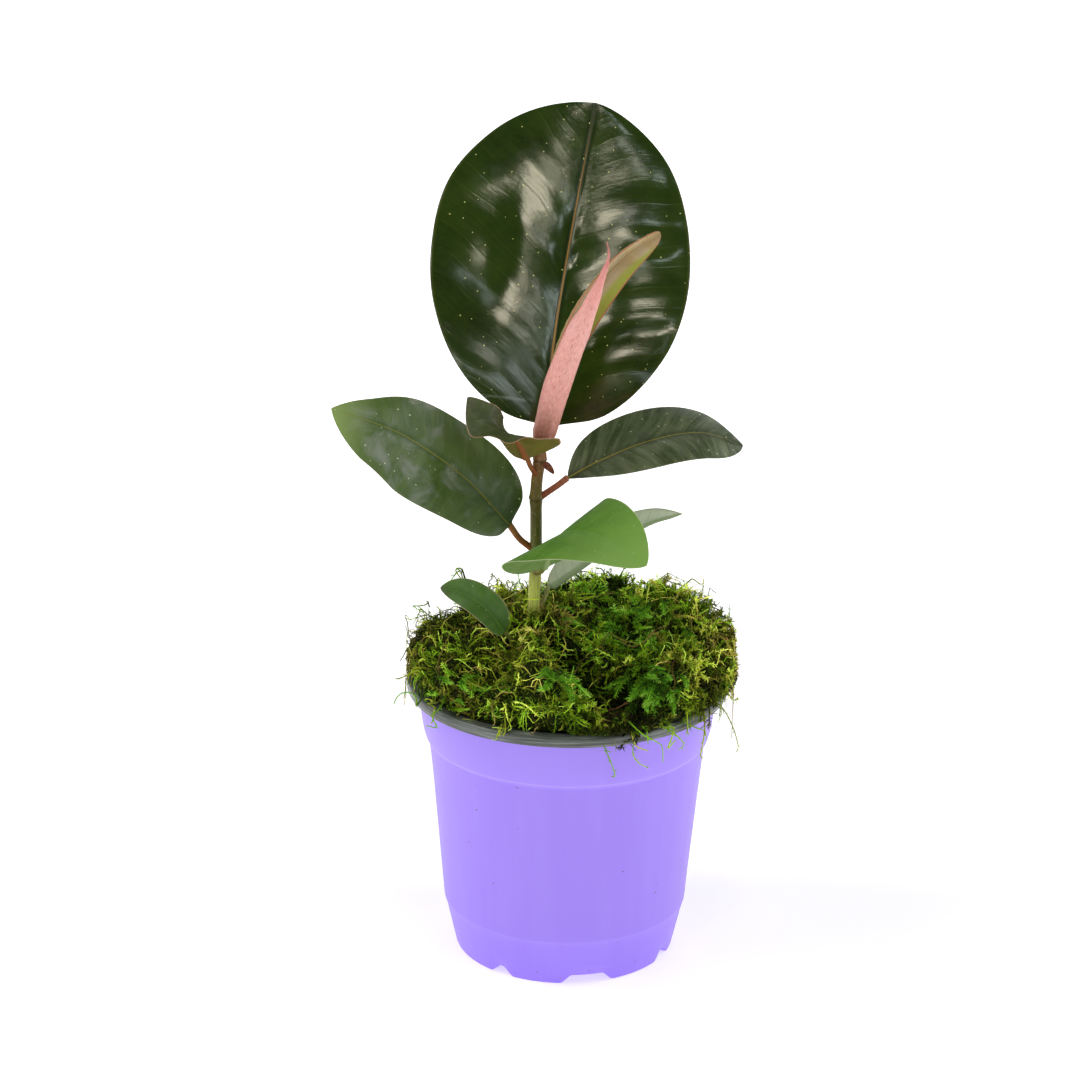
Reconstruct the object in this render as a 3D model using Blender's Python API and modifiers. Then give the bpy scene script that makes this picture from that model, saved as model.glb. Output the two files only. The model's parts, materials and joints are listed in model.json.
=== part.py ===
"""Potted rubber plant (Ficus elastica): a young plant with its nursery pot and a top dressing of moss.

The pot is turned about the Z axis.  The soil fills it and the moss lies on the soil in clumps.
The stem stands a little to the left of the pot's axis and carries eight leaves.  At its top a
pink sheath wraps the bud.  Each leaf, with its petiole, is one loft between unlike cross sections.
Seen from -Y the plant shows its front.  Lengths below are in millimetres, and MM turns them into
metres.  The whole model hangs on one empty, which puts the centre of its box over the origin.
"""
import math

import bmesh
import bpy
from mathutils import Matrix, Vector

MM = 0.001
GAP = 0.3                  # clearance between neighbouring pieces

# Pot: a thermoformed nursery pot with a rolled lip, a collar, a tapered wall and a footed base
RIM_RADIUS = 54.0
RIM_TOP = 96.6
LIP_HEIGHT = 3.7
COLLAR_RADIUS = 50.0       # just under the lip
SHOULDER_Z = 75.5          # where the collar steps in to the wall
SHOULDER_RADIUS = 47.2
STEP = 0.6                 # how far the wall steps in under the collar
CHAMFER_Z = 17.0
CHAMFER_RADIUS = 41.3
FOOT_Z = 6.6               # where the chamfer meets the foot ring
FOOT_TOP_RADIUS = 38.7
FOOT_RADIUS = 37.2
FOOT_WIDTH = 3.2
BASE_RISE = 3.2            # the base is raised this far above the foot
WALL = 1.0
POT_STEPS = 60
NOTCH_HEIGHT = 3.0
# Centre and width of each notch in degrees, from the front towards +X
NOTCHES = ((-34, 12), (12.5, 26), (63.5, 13), (114, 26), (164, 13), (215, 26), (267, 13))
DRAIN_HOLES = 6
DRAIN_RADIUS = 3.5
DRAIN_CIRCLE = 22.0

# Soil and moss
SOIL_TOP = 87.0
SOCKET_FLOOR = 58.0        # the stem's foot stands just above this
MOSS_OVER_LIP = RIM_TOP + 0.4
MOSS_SLICES = 13
STEM_CLEARANCE = 3.2       # between the stem's skin and the moss

# Stem
STEM_X = -11.3
STEM_RADIUS = 1.95
STEM_TOP = 176.6
STEM_NODES = (118.0, 130.0, 141.0, 159.0, 172.5)   # heights of the rings that leaves grow from
NODE_SWELL = 0.35          # how much a node stands out from the stem
STEM_SECTIONS = 34
MOSS_CENTRE_X = STEM_X - 1.0
STEM_LINE = [(STEM_X - 1.2, 0, SOCKET_FLOOR + GAP), (STEM_X - 1.2, 0, 88),
             (STEM_X - 0.7, 0, 112), (STEM_X + 0.1, 0, 140), (STEM_X, 0, 162),
             (STEM_X + 1.1, 0, 173), (STEM_X + 1.2, 0, STEM_TOP)]

# Leaves
BLADE = 0.9                # thickness at the middle of a blade
PETIOLE = 1.15             # petiole radius
LATERAL = (0.0, 0.12, 0.35, 0.65, 0.87, 1.0)  # where a half blade is sampled, midrib to margin
STALK_RINGS = 4
ROOT_SHARE = 0.5           # how far a petiole runs straight out, on its way to its first bend


def clear_scene():
    for old in list(bpy.data.objects):
        bpy.data.objects.remove(old, do_unlink=True)


def material(name, colour, roughness, metallic=0.0):
    mat = bpy.data.materials.new(name)
    mat.use_nodes = True
    shader = mat.node_tree.nodes["Principled BSDF"]
    shader.inputs["Base Color"].default_value = (*colour, 1.0)
    shader.inputs["Roughness"].default_value = roughness
    shader.inputs["Metallic"].default_value = metallic
    mat.diffuse_color = (*colour, 1.0)
    return mat


def add_object(name, mesh, mat, smooth=35.0):
    obj = bpy.data.objects.new(name, mesh)
    mesh.materials.append(mat)
    PARTS.objects.link(obj)
    obj.parent = ROOT
    if smooth:
        mesh.shade_smooth()
        mesh.set_sharp_from_angle(angle=math.radians(smooth))
    return obj


def turned(name, profile, mat, steps=POT_STEPS):
    """A profile of (radius, height) points, turned about the Z axis."""
    mesh = bpy.data.meshes.new(name)
    points = [(r * MM, 0.0, z * MM) for r, z in profile]
    edges = [(i, i + 1) for i in range(len(points) - 1)]
    mesh.from_pydata(points, edges, [])
    obj = add_object(name, mesh, mat, smooth=None)
    screw = obj.modifiers.new("turn", "SCREW")
    screw.steps = screw.render_steps = steps
    screw.use_merge_vertices = True
    screw.merge_threshold = 0.00001
    screw.use_smooth_shade = True
    return obj


def cutter(name, mesh):
    """An object that only cuts: hidden in renders and drawn as wire."""
    obj = bpy.data.objects.new(name, mesh)
    CUTTERS.objects.link(obj)
    obj.parent = ROOT
    obj.hide_render = True
    obj.display_type = "WIRE"
    return obj


def cut(obj, tool):
    boolean = obj.modifiers.new("cut " + tool.name, "BOOLEAN")
    boolean.operation = "DIFFERENCE"
    boolean.solver = "EXACT"
    boolean.object = tool


def arc(cx, cz, rx, rz, start, end, count):
    """Points (x, z) on an elliptical arc, angles in degrees."""
    angles = [math.radians(start + (end - start) * i / count) for i in range(count + 1)]
    return [(cx + rx * math.cos(a), cz + rz * math.sin(a)) for a in angles]


def inner_wall():
    """The pot's inside, from the middle of its floor up to under the lip."""
    floor = BASE_RISE + WALL
    return [(0.0, floor), (FOOT_TOP_RADIUS - 3.2, floor), (FOOT_TOP_RADIUS - WALL, FOOT_Z + 0.6),
            (CHAMFER_RADIUS - WALL, CHAMFER_Z + 0.4), (SHOULDER_RADIUS - STEP - WALL, SHOULDER_Z),
            (SHOULDER_RADIUS - WALL, SHOULDER_Z + 1.2), (COLLAR_RADIUS - WALL, RIM_TOP - 8.0),
            (COLLAR_RADIUS - WALL + 0.1, RIM_TOP - 1.6)]


def wall_radius(z):
    """Radius of the pot's inside at a height, read off its profile."""
    wall = inner_wall()
    upper = next(i for i, point in enumerate(wall) if i > 0 and point[1] >= z)
    (r0, z0), (r1, z1) = wall[upper - 1], wall[upper]
    return r0 + (r1 - r0) * (z - z0) / (z1 - z0)


def make_pot(mat):
    lip = arc(RIM_RADIUS - 1.6, RIM_TOP - 1.6, 1.6, 1.6, 90, 0, 3)
    inner_corner = arc(COLLAR_RADIUS - WALL + 1.7, RIM_TOP - 1.6, 1.6, 1.6, 180, 90, 2)
    lip_under = RIM_TOP - LIP_HEIGHT
    outside = [(RIM_RADIUS, lip_under + 0.5), (RIM_RADIUS - 0.5, lip_under),
               (COLLAR_RADIUS + 0.3, lip_under), (COLLAR_RADIUS - 0.2, lip_under - 5.0),
               (COLLAR_RADIUS - 1.3, SHOULDER_Z + 4.5), (SHOULDER_RADIUS + 0.2, SHOULDER_Z + 0.8),
               (SHOULDER_RADIUS - STEP, SHOULDER_Z), (CHAMFER_RADIUS, CHAMFER_Z),
               (CHAMFER_RADIUS - 0.7, CHAMFER_Z - 2.6), (FOOT_TOP_RADIUS, FOOT_Z),
               (FOOT_RADIUS + 0.3, 0.6), (FOOT_RADIUS - 0.4, 0.0)]
    underside = [(FOOT_RADIUS - FOOT_WIDTH, 0.0), (FOOT_RADIUS - FOOT_WIDTH - 0.4, BASE_RISE),
                 (0.0, BASE_RISE)]
    pot = turned("pot", inner_wall()[:-1] + inner_corner + lip + outside + underside, mat)
    cut(pot, foot_notches())
    cut(pot, drain_holes())
    return pot


def foot_notches():
    """Shallow arches that cut the foot ring into lobes, one wedge of rounded outline at each."""
    bm = bmesh.new()
    for centre, width in NOTCHES:
        half = FOOT_RADIUS * math.sin(math.radians(width / 2))
        outline = [(-half - 0.5, -1.0), (-half, 0.0)]
        outline += arc(-half + 2.2, NOTCH_HEIGHT - 2.2, 1.6, 2.2, 180, 90, 3)
        outline += arc(half - 2.2, NOTCH_HEIGHT - 2.2, 1.6, 2.2, 90, 0, 3)
        outline += [(half, 0.0), (half + 0.5, -1.0)]
        turn = Matrix.Rotation(math.radians(centre), 4, "Z")
        rings = []
        for distance in (FOOT_RADIUS - FOOT_WIDTH - 2.0, FOOT_TOP_RADIUS + 4.0):
            ring = [turn @ Vector((x, -distance, z)) * MM for x, z in outline]
            rings.append([bm.verts.new(point) for point in ring])
        skin(bm, rings)
    return cutter("cut_foot_notches", finished(bm, "cut_foot_notches"))


def drain_holes():
    bm = bmesh.new()
    centres = [(0.0, 0.0)]
    for index in range(DRAIN_HOLES):
        angle = 2 * math.pi * index / DRAIN_HOLES
        centres.append((DRAIN_CIRCLE * math.sin(angle), -DRAIN_CIRCLE * math.cos(angle)))
    half_side = Matrix.Rotation(math.pi / 16, 4, "Z")
    for x, y in centres:
        place = Matrix.Translation(Vector((x, y, BASE_RISE + WALL / 2)) * MM) @ half_side
        bmesh.ops.create_cone(bm, cap_ends=True, segments=16, radius1=DRAIN_RADIUS * MM,
                              radius2=DRAIN_RADIUS * MM, depth=4 * WALL * MM, matrix=place)
    return cutter("cut_drain_holes", finished(bm, "cut_drain_holes"))


def make_soil(mat):
    walls = [(max(r - GAP, 0.0), z) for r, z in inner_wall() if z < SOIL_TOP]
    floor = [(r, z + GAP) for r, z in walls[:2]]
    shoulder = (wall_radius(SOIL_TOP - 1.0) - GAP, SOIL_TOP - 1.0)
    top = [shoulder, (shoulder[0] - 1.0, SOIL_TOP), (0.0, SOIL_TOP)]
    soil = turned("potting_soil", list(reversed(floor + walls[2:] + top)), mat)
    bm = bmesh.new()
    depth = SOIL_TOP + 5.0 - SOCKET_FLOOR
    place = Matrix.Translation(Vector((STEM_X - 1.2, 0.0, SOCKET_FLOOR + depth / 2)) * MM)
    radius = (STEM_RADIUS + 0.25 + GAP) * MM
    half_side = Matrix.Rotation(math.pi / 20, 4, "Z")
    bmesh.ops.create_cone(bm, cap_ends=True, segments=20, radius1=radius, radius2=radius,
                          depth=depth * MM, matrix=place @ half_side)
    cut(soil, cutter("cut_stem_socket", finished(bm, "cut_stem_socket")))
    return soil


def skin(bm, rings, apex=None):
    """Quads between neighbouring rings of equal count, a flat cap on the first ring, and on the
    last one a flat cap or, where there is an apex, a fan to it."""
    count = len(rings[0])
    for ring_a, ring_b in zip(rings, rings[1:]):
        for i in range(count):
            j = (i + 1) % count
            bm.faces.new((ring_a[i], ring_a[j], ring_b[j], ring_b[i]))
    bm.faces.new(list(reversed(rings[0])))
    if apex is None:
        bm.faces.new(rings[-1])
        return
    for i in range(count):
        bm.faces.new((rings[-1][i], rings[-1][(i + 1) % count], apex))


def finished(bm, name):
    """The mesh of a closed skin, with its faces turned outward."""
    bmesh.ops.recalc_face_normals(bm, faces=bm.faces)
    if bm.calc_volume(signed=True) < 0:
        bmesh.ops.reverse_faces(bm, faces=bm.faces)
    mesh = bpy.data.meshes.new(name)
    bm.to_mesh(mesh)
    bm.free()
    return mesh


def smooth_path(points, t):
    """A point at t (0 to 1) on the Catmull-Rom curve through the points."""
    points = [Vector(p) for p in points]
    ends = [points[0] * 2 - points[1]] + points + [points[-1] * 2 - points[-2]]
    place = min(max(t, 0.0), 1.0) * (len(points) - 1)
    index = min(int(place), len(points) - 2)
    u = place - index
    a, b, c, d = ends[index:index + 4]
    return 0.5 * (2 * b + (c - a) * u + (2 * a - 5 * b + 4 * c - d) * u ** 2
                  + (3 * b - a - 3 * c + d) * u ** 3)


def along(values, t):
    """A value read at t (0 to 1) from a list of evenly spaced numbers or vectors."""
    place = min(max(t, 0.0), 1.0) * (len(values) - 1)
    index = min(int(place), max(len(values) - 2, 0))
    u = place - index
    u = u * u * (3 - 2 * u)
    if len(values) == 1:
        return values[0]
    return values[index] * (1 - u) + values[index + 1] * u


def outline_width(t, base, tip):
    """Half width of a blade at t, as a share of its greatest: base and tip say how full each end is."""
    widest = base / (base + tip)
    return (t / widest) ** base * ((1 - t) / (1 - widest)) ** tip


def half_blade(width, fold, curl, q):
    """(sideways, upward, slope) at a share q of a half blade that leaves the midrib at the angle
    fold and bends by curl up to its margin."""
    fold, curl = math.radians(fold), math.radians(curl)
    slope = fold + curl * q
    if abs(curl) < 0.01:
        return width * q * math.cos(fold), width * q * math.sin(fold), slope
    sideways = width / curl * (math.sin(slope) - math.sin(fold))
    upward = width / curl * (math.cos(fold) - math.cos(slope))
    return sideways, upward, slope


def frame_at(path, faces, t):
    """Midrib point, side direction (to the right of the tip, face up) and face direction."""
    here = smooth_path(path, t)
    ahead = smooth_path(path, t + 0.01) - smooth_path(path, t - 0.01)
    ahead.normalize()
    face = along(faces, t)
    face = (face - ahead * face.dot(ahead)).normalized()
    return here, ahead.cross(face), face


def blade_ring(spec, t, thickness):
    """One closed cross section of the blade: over the face from left to right, and back below."""
    here, side, face = frame_at(spec["midrib"], spec["faces"], t)
    upper, lower = [], []
    for sign, key, place in ((-1, "left", 0), (1, "right", 1)):
        share = outline_width(t, *spec["fullness"][place])
        width = spec["width"][place] * share
        fold = along(spec[key + "_fold"], t)
        curl = along(spec[key + "_curl"], t)
        for q in LATERAL:
            sideways, upward, slope = half_blade(width, fold, curl, q)
            normal = side * (-sign * math.sin(slope)) + face * math.cos(slope)
            wave = spec["wave"] * q * q * math.sin(2 * math.pi * spec["waves"] * t + 1.5 * sign)
            point = here + side * (sign * sideways) + face * upward + normal * wave * share
            rib = PETIOLE * 1.6 * (1 - t) * max(0.0, 1 - q / 0.3) ** 2
            depth = (thickness * (1 - q ** 4) + rib) * min(1.0, share * 3)
            upper.append((sign * q, point))
            if q < 1.0:
                lower.append((sign * q, point - normal * depth))
    upper = sorted(dict(upper).items())
    lower = sorted(dict(lower).items(), reverse=True)
    return [p for q, p in upper] + [p for q, p in lower]


def round_ring(path, faces, t, radius, count_upper, count_lower):
    here, side, face = frame_at(path, faces, t)
    angles = [math.pi - math.pi * i / (count_upper - 1) for i in range(count_upper)]
    angles += [-math.pi * (i + 1) / (count_lower + 1) for i in range(count_lower)]
    return [here + side * (radius * math.cos(a)) + face * (radius * math.sin(a)) for a in angles]


def petiole_root(height, azimuth):
    """Where a petiole starts, just clear of the stem's skin, and the way straight out from there."""
    line = [Vector(p) for p in STEM_LINE]
    upper = next(p for p in line if p.z > height)
    lower = line[line.index(upper) - 1]
    centre = lower.lerp(upper, (height - lower.z) / (upper.z - lower.z))
    outward = Vector((math.cos(math.radians(azimuth)), math.sin(math.radians(azimuth)), 0.0))
    return centre + outward * (stem_radius(height) + 0.1 + GAP), outward


def make_leaf(name, mat, spec):
    """A petiole of round sections that opens into a blade of folded, curled sections."""
    upper = 2 * len(LATERAL) - 1
    lower = upper - 2
    faces = [Vector(f).normalized() for f in spec["faces"]]
    spec = dict(spec, faces=faces)
    radius = spec.get("petiole_radius", PETIOLE)
    start, outward = petiole_root(*spec["root"])
    reach = ROOT_SHARE * (Vector(spec["petiole"][0]) - start).length
    stalk = [start, start + outward * reach] + spec["petiole"] + [spec["midrib"][0]]
    bm = bmesh.new()
    loops = []
    for k in range(STALK_RINGS):
        loops.append(round_ring(stalk, [faces[0]], k / STALK_RINGS, radius, upper, lower))
    base = round_ring(spec["midrib"], faces, 0.0, radius, upper, lower)
    loops.append(base)
    rings = spec["rings"]
    for k in range(1, rings + 1):
        t = 0.5 - 0.5 * math.cos(math.pi * k / (rings + 1))
        section = blade_ring(spec, t, BLADE)
        blend = min(1.0, t / 0.05)
        start = round_ring(spec["midrib"], faces, t, radius, upper, lower)
        loops.append([a.lerp(b, blend) for a, b in zip(start, section)])
    tip = bm.verts.new(Vector(spec["midrib"][-1]) * MM)
    skin(bm, [[bm.verts.new(p * MM) for p in loop] for loop in loops], apex=tip)
    return add_object(name, finished(bm, name), mat, smooth=60.0)


# Each leaf: where its petiole leaves the stem (height, azimuth in degrees from +X), the points of
# its petiole and of its midrib, the way its upper face looks, the half widths (left and right of
# the midrib, tip ahead), how full each half is at base and tip, how far each half is folded up
# from the midrib and curled towards its margin (degrees, base to tip), and the blade's waves.
LEAVES = {
    "big_leaf": dict(
        root=(169.5, 78), petiole=[(-9.6, 4.4, 174.5)], rings=18,
        midrib=[(-7.9, 6.2, 181.5), (-6.6, 24, 203), (-3.4, 42, 223), (0.2, 57, 242.5),
                (3.6, 69, 259.5), (6.6, 79, 274.6)],
        faces=[(0.0, -1.0, 0.9)], width=(46.3, 42.0), fullness=((0.52, 0.54), (0.42, 0.60)),
        left_fold=[10, 6, 4], left_curl=[0, -12, -16], right_fold=[8, 4, 2],
        right_curl=[0, -14, -18], waves=2.5, wave=1.0),
    "left_leaf": dict(
        root=(141.0, 190), petiole=[(-17.2, -1.3, 144.5)], rings=14,
        midrib=[(-19.6, -2.1, 150.0), (-34.6, -6, 168), (-52.4, -10, 182.5), (-66, -13, 189.5),
                (-77.5, -15, 194)],
        faces=[(0.2, -0.75, 1.0)], width=(21.0, 17.5), fullness=((0.55, 0.8), (0.36, 0.9)),
        left_fold=[10, 6, 2], left_curl=[0, -14, -20], right_fold=[10, 6, 2],
        right_curl=[0, -14, -20], waves=2.0, wave=0.8),
    "right_leaf": dict(
        root=(159.0, 5), petiole=[(-4.6, 0.8, 163.0)], rings=14,
        midrib=[(-1.2, 2, 165.7), (9.6, 5, 171), (26, 10, 176.5), (42.7, 14, 178.3),
                (57.3, 18, 172.8)],
        faces=[(-0.1, -0.4, 1.0)], width=(15.5, 13.2), fullness=((0.75, 0.65), (0.75, 0.65)),
        left_fold=[14, 8, 4], left_curl=[0, -10, -14], right_fold=[14, 6, 2],
        right_curl=[0, -10, -14], waves=1.5, wave=0.6),
    "front_leaf": dict(
        root=(133.5, -72), petiole=[(-9.6, -5.2, 134.5)], rings=14,
        midrib=[(-8.6, -7.5, 137.5), (-6.5, -14, 146.5), (-2.5, -23, 155.5), (6, -33, 159.5),
                (15.5, -42, 158.5), (24.3, -49, 154)],
        faces=[(-0.3, 0.6, 0.7), (-0.3, -0.2, 0.9), (0.0, -0.5, 0.85)], width=(19.5, 21.5),
        fullness=((0.45, 0.75), (0.45, 0.58)), left_fold=[10, 4, 0], left_curl=[0, -10, -10],
        right_fold=[-6, 8, 20], right_curl=[-10, 0, 0], waves=1.0, wave=0.3),
    "back_leaf": dict(
        root=(119.0, 22), petiole=[(-7.6, 1.2, 122.5)], rings=10, petiole_radius=0.9,
        midrib=[(-7, 1, 127.5), (4, 4, 134.5), (15.5, 7.5, 142), (27, 11, 147.5),
                (37.8, 15, 149.2)],
        faces=[(-0.3, 0.8, 0.6)], width=(8.0, 8.0), fullness=((0.6, 0.9), (0.6, 0.9)),
        left_fold=[40, 35, 25], left_curl=[0, 0, 0], right_fold=[40, 35, 25],
        right_curl=[0, 0, 0], waves=1.0, wave=0.3),
    "low_leaf": dict(
        root=(104.5, 236), petiole=[(-17.0, -7.6, 109.0)], rings=10, petiole_radius=0.8,
        midrib=[(-21, -14, 117), (-27, -16.5, 126), (-34.5, -19.5, 132.5), (-42, -22, 135.4)],
        faces=[(0.3, -0.7, 0.9)], width=(7.2, 7.0), fullness=((0.5, 0.75), (0.5, 0.75)),
        left_fold=[20, 15, 5], left_curl=[0, -10, -10], right_fold=[20, 15, 5],
        right_curl=[0, -10, -10], waves=1.0, wave=0.3),
    "folded_leaf": dict(
        root=(167.0, 245), petiole=[(-13.2, -4.2, 170.5)], rings=12, petiole_radius=0.9,
        midrib=[(-14.3, -4.4, 174.4), (-17.6, -7, 182.3), (-23, -9, 185.8), (-29, -8, 190.6),
                (-34, -5, 195.3)],
        faces=[(0.2, 0.8, 0.5), (0.3, 0.7, 0.5), (0.5, -0.3, 0.75), (0.3, -0.75, 0.5),
               (0.3, -0.9, 0.3)],
        width=(14.0, 7.5), fullness=((0.27, 0.9), (0.4, 0.75)), left_fold=[-14, 10, 0],
        left_curl=[0, 0, 0], right_fold=[0, 0, 10], right_curl=[0, 0, 0], waves=1.0, wave=0.0),
    "young_leaf": dict(
        root=(174.6, 35), petiole=[(-5.8, 4.4, 181.0)], rings=12, petiole_radius=0.9,
        midrib=[(-7.2, 8, 196), (-2, 11, 211), (5, 14.5, 223.5), (15, 17.5, 235.5), (28, 20, 245)],
        faces=[(0.4, -1.0, 0.0)], width=(8.0, 8.0), fullness=((0.4, 0.65), (0.4, 0.65)),
        left_fold=[20, 20, 20], left_curl=[70, 60, 50], right_fold=[20, 20, 20],
        right_curl=[70, 60, 50], waves=1.0, wave=0.0),
}

LEAF_LOOK = {
    "big_leaf": ((0.030, 0.050, 0.012), 0.25),
    "left_leaf": ((0.065, 0.110, 0.030), 0.40),
    "right_leaf": ((0.060, 0.080, 0.035), 0.38),
    "front_leaf": ((0.130, 0.260, 0.045), 0.50),
    "back_leaf": ((0.360, 0.420, 0.280), 0.60),
    "low_leaf": ((0.070, 0.150, 0.025), 0.45),
    "folded_leaf": ((0.070, 0.080, 0.035), 0.40),
    "young_leaf": ((0.300, 0.260, 0.090), 0.35),
}

SHEATH_LINE = [(-10.1, 0, STEM_TOP + GAP), (-10.0, 0, 178.4), (-8.4, -0.4, 183.5),
               (-4.6, 0, 198.5), (1.2, 1.5, 214.5), (5.6, 3, 224.5), (9.6, 4.6, 234.7),
               (11.2, 5.4, 240.5), (11.0, 5.6, 242.9)]
SHEATH_RADII = (2.3, 2.9, 4.2, 4.8, 4.2, 3.1, 1.6, 0.7, 0.3)
SHEATH_SECTIONS = 20
STIPULE_ROOT = (172.0, -62)
STIPULE_RADII = (0.5, 0.7, 0.9, 0.5)


def tube(name, line, radii, mat, samples, roundness=4):
    """A round tube of varying radius along a smooth line, as a bevelled curve with filled caps."""
    curve = bpy.data.curves.new(name, "CURVE")
    curve.dimensions = "3D"
    curve.bevel_depth = MM
    curve.bevel_resolution = roundness
    curve.use_fill_caps = True
    spline = curve.splines.new("POLY")
    spline.points.add(samples)
    spline.use_smooth = True
    for k, point in enumerate(spline.points):
        t = k / samples
        point.co = (*(smooth_path(line, t) * MM), 1.0)
        point.radius = along(radii, t)
    obj = bpy.data.objects.new(name, curve)
    curve.materials.append(mat)
    PARTS.objects.link(obj)
    obj.parent = ROOT
    return obj


def make_dried_stipule(mat):
    """What is left of an older sheath: a small curled flake at the stem's top node."""
    start, outward = petiole_root(*STIPULE_ROOT)
    steps = (outward * 1.2, (1.6, -0.4, -1.0), (1.1, 0.2, -2.4))
    line = [start]
    for step in steps:
        line.append(line[-1] + Vector(step))
    return tube("dried_stipule", line, STIPULE_RADII, mat, 6, roundness=2)


def stem_radius(z):
    """The stem is thickest at its foot and swells at each node."""
    swell = sum(math.exp(-((z - node) / 2.2) ** 2) for node in STEM_NODES)
    return STEM_RADIUS + 0.25 * (STEM_TOP - z) / (STEM_TOP - SOCKET_FLOOR) + NODE_SWELL * swell


def make_stem(mat):
    radii = [stem_radius(smooth_path(STEM_LINE, k / STEM_SECTIONS).z)
             for k in range(STEM_SECTIONS + 1)]
    return tube("stem", STEM_LINE, radii, mat, STEM_SECTIONS)


# Moss: each clump is a run of slices about the stem.  The numbers are the first and last angle in
# degrees (0 to the right, turning to the back), then height and reach at three places of the run.
MOSS = {
    "moss_right": (-42.5, 28.5, (112, 115, 117), (56.5, 60.0, 58.0)),
    "moss_back_right": (30, 88.5, (117, 117, 115), (56.5, 55.0, 54.0)),
    "moss_back_left": (90, 158.5, (116, 115, 116), (54.0, 54.5, 55.0)),
    "moss_left": (160, 225, (116, 117, 111), (55.5, 55.0, 52.5)),
    "moss_front_left": (253, 282, (110, 114, 113), (52.0, 52.0, 52.5)),
    "moss_front_right": (283.5, 316, (108, 107, 110), (54.0, 58.0, 56.5)),
}


def reach_from_stem(angle, radius):
    """How far it is from the moss's centre to a circle of this radius about the pot's axis."""
    along_ray = MOSS_CENTRE_X * math.cos(angle)
    return -along_ray + math.sqrt(along_ray ** 2 - MOSS_CENTRE_X ** 2 + radius ** 2)


def moss_slice(angle, height, reach):
    """One upright slice: over the soil, out across the lip, and back over the top to the stem."""
    direction = Vector((math.cos(angle), math.sin(angle), 0.0))
    near = STEM_RADIUS + STEM_CLEARANCE
    inside = reach_from_stem(angle, wall_radius(SOIL_TOP) - GAP)
    edge = reach_from_stem(angle, reach)
    bottom = SOIL_TOP + GAP
    lumps = 1.3 * math.sin(7 * angle) + 0.8 * math.sin(13 * angle + 1.0)
    top = height + lumps
    outline = [(near, bottom), (inside, bottom), (inside, MOSS_OVER_LIP), (edge - 1.5, MOSS_OVER_LIP)]
    middle = MOSS_OVER_LIP + 0.35 * (top - MOSS_OVER_LIP)
    outline += arc(edge - 5.0, middle, 5.0, middle - MOSS_OVER_LIP, -35, 0, 2)
    outline += arc(edge - 12.0, middle, 12.0, top - middle, 22, 90, 4)
    outline += [(near + 0.55 * (edge - near), top + 1.0), (near + 0.25 * (edge - near), top - 1.5),
                (near + 1.5, top - 4.0), (near, top - 6.0)]
    centre = Vector((MOSS_CENTRE_X, 0.0, 0.0))
    return [centre + direction * r + Vector((0.0, 0.0, z)) for r, z in outline]


def make_moss(name, mat):
    first, last, heights, reaches = MOSS[name]
    bm = bmesh.new()
    rings = []
    for k in range(MOSS_SLICES):
        t = k / (MOSS_SLICES - 1)
        angle = math.radians(first + (last - first) * t)
        height = along([float(h) for h in heights], t)
        reach = along([float(r) for r in reaches], t)
        rings.append([bm.verts.new(p * MM) for p in moss_slice(angle, height, reach)])
    skin(bm, rings)
    return add_object(name, finished(bm, name), mat, smooth=50.0)


def build():
    make_pot(material("pot_plastic", (0.390, 0.245, 0.940), 0.35))
    make_soil(material("soil", (0.050, 0.030, 0.018), 0.95))
    make_stem(material("stem_bark", (0.110, 0.095, 0.020), 0.60))
    for name, spec in LEAVES.items():
        colour, roughness = LEAF_LOOK[name]
        make_leaf(name, material(name + "_skin", colour, roughness), spec)
    sheath_mat = material("sheath_skin", (0.75, 0.35, 0.30), 0.55)
    tube("shoot_sheath", SHEATH_LINE, SHEATH_RADII, sheath_mat, SHEATH_SECTIONS)
    make_dried_stipule(material("dried_skin", (0.22, 0.09, 0.05), 0.70))
    moss_mat = material("moss", (0.060, 0.095, 0.015), 0.90)
    for name in MOSS:
        make_moss(name, moss_mat)


def stand_on_origin():
    """Puts the middle of the model's box over the origin, with the pot's foot at height zero."""
    bpy.context.view_layer.update()
    graph = bpy.context.evaluated_depsgraph_get()
    points = []
    for obj in PARTS.objects:
        if obj != ROOT:
            evaluated = obj.evaluated_get(graph)
            points += [vertex.co.copy() for vertex in evaluated.to_mesh().vertices]
            evaluated.to_mesh_clear()
    for axis in (0, 1):
        low = min(p[axis] for p in points)
        high = max(p[axis] for p in points)
        ROOT.location[axis] = -(low + high) / 2
    bpy.context.view_layer.update()


clear_scene()
PARTS = bpy.data.collections.new("potted_rubber_plant")
CUTTERS = bpy.data.collections.new("cutters")
for group in (PARTS, CUTTERS):
    bpy.context.scene.collection.children.link(group)
ROOT = bpy.data.objects.new("potted_rubber_plant_root", None)
PARTS.objects.link(ROOT)
build()
stand_on_origin()
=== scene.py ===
"""Potted rubber plant: what is seen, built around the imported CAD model.

Lengths are millimetres from the pot's axis and foot until a mesh is made; those of the lamps, the
floor, the camera's clipping and the materials' bumps are metres.  Leaves, stem and moss repeat the
named values of the part's source with much finer sections.  Veins, channels, lumps and moss strands
are geometry; the materials read attributes that the meshes carry.
"""

import json
import math

import bpy
import numpy as np
from mathutils import Matrix, Vector

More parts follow.
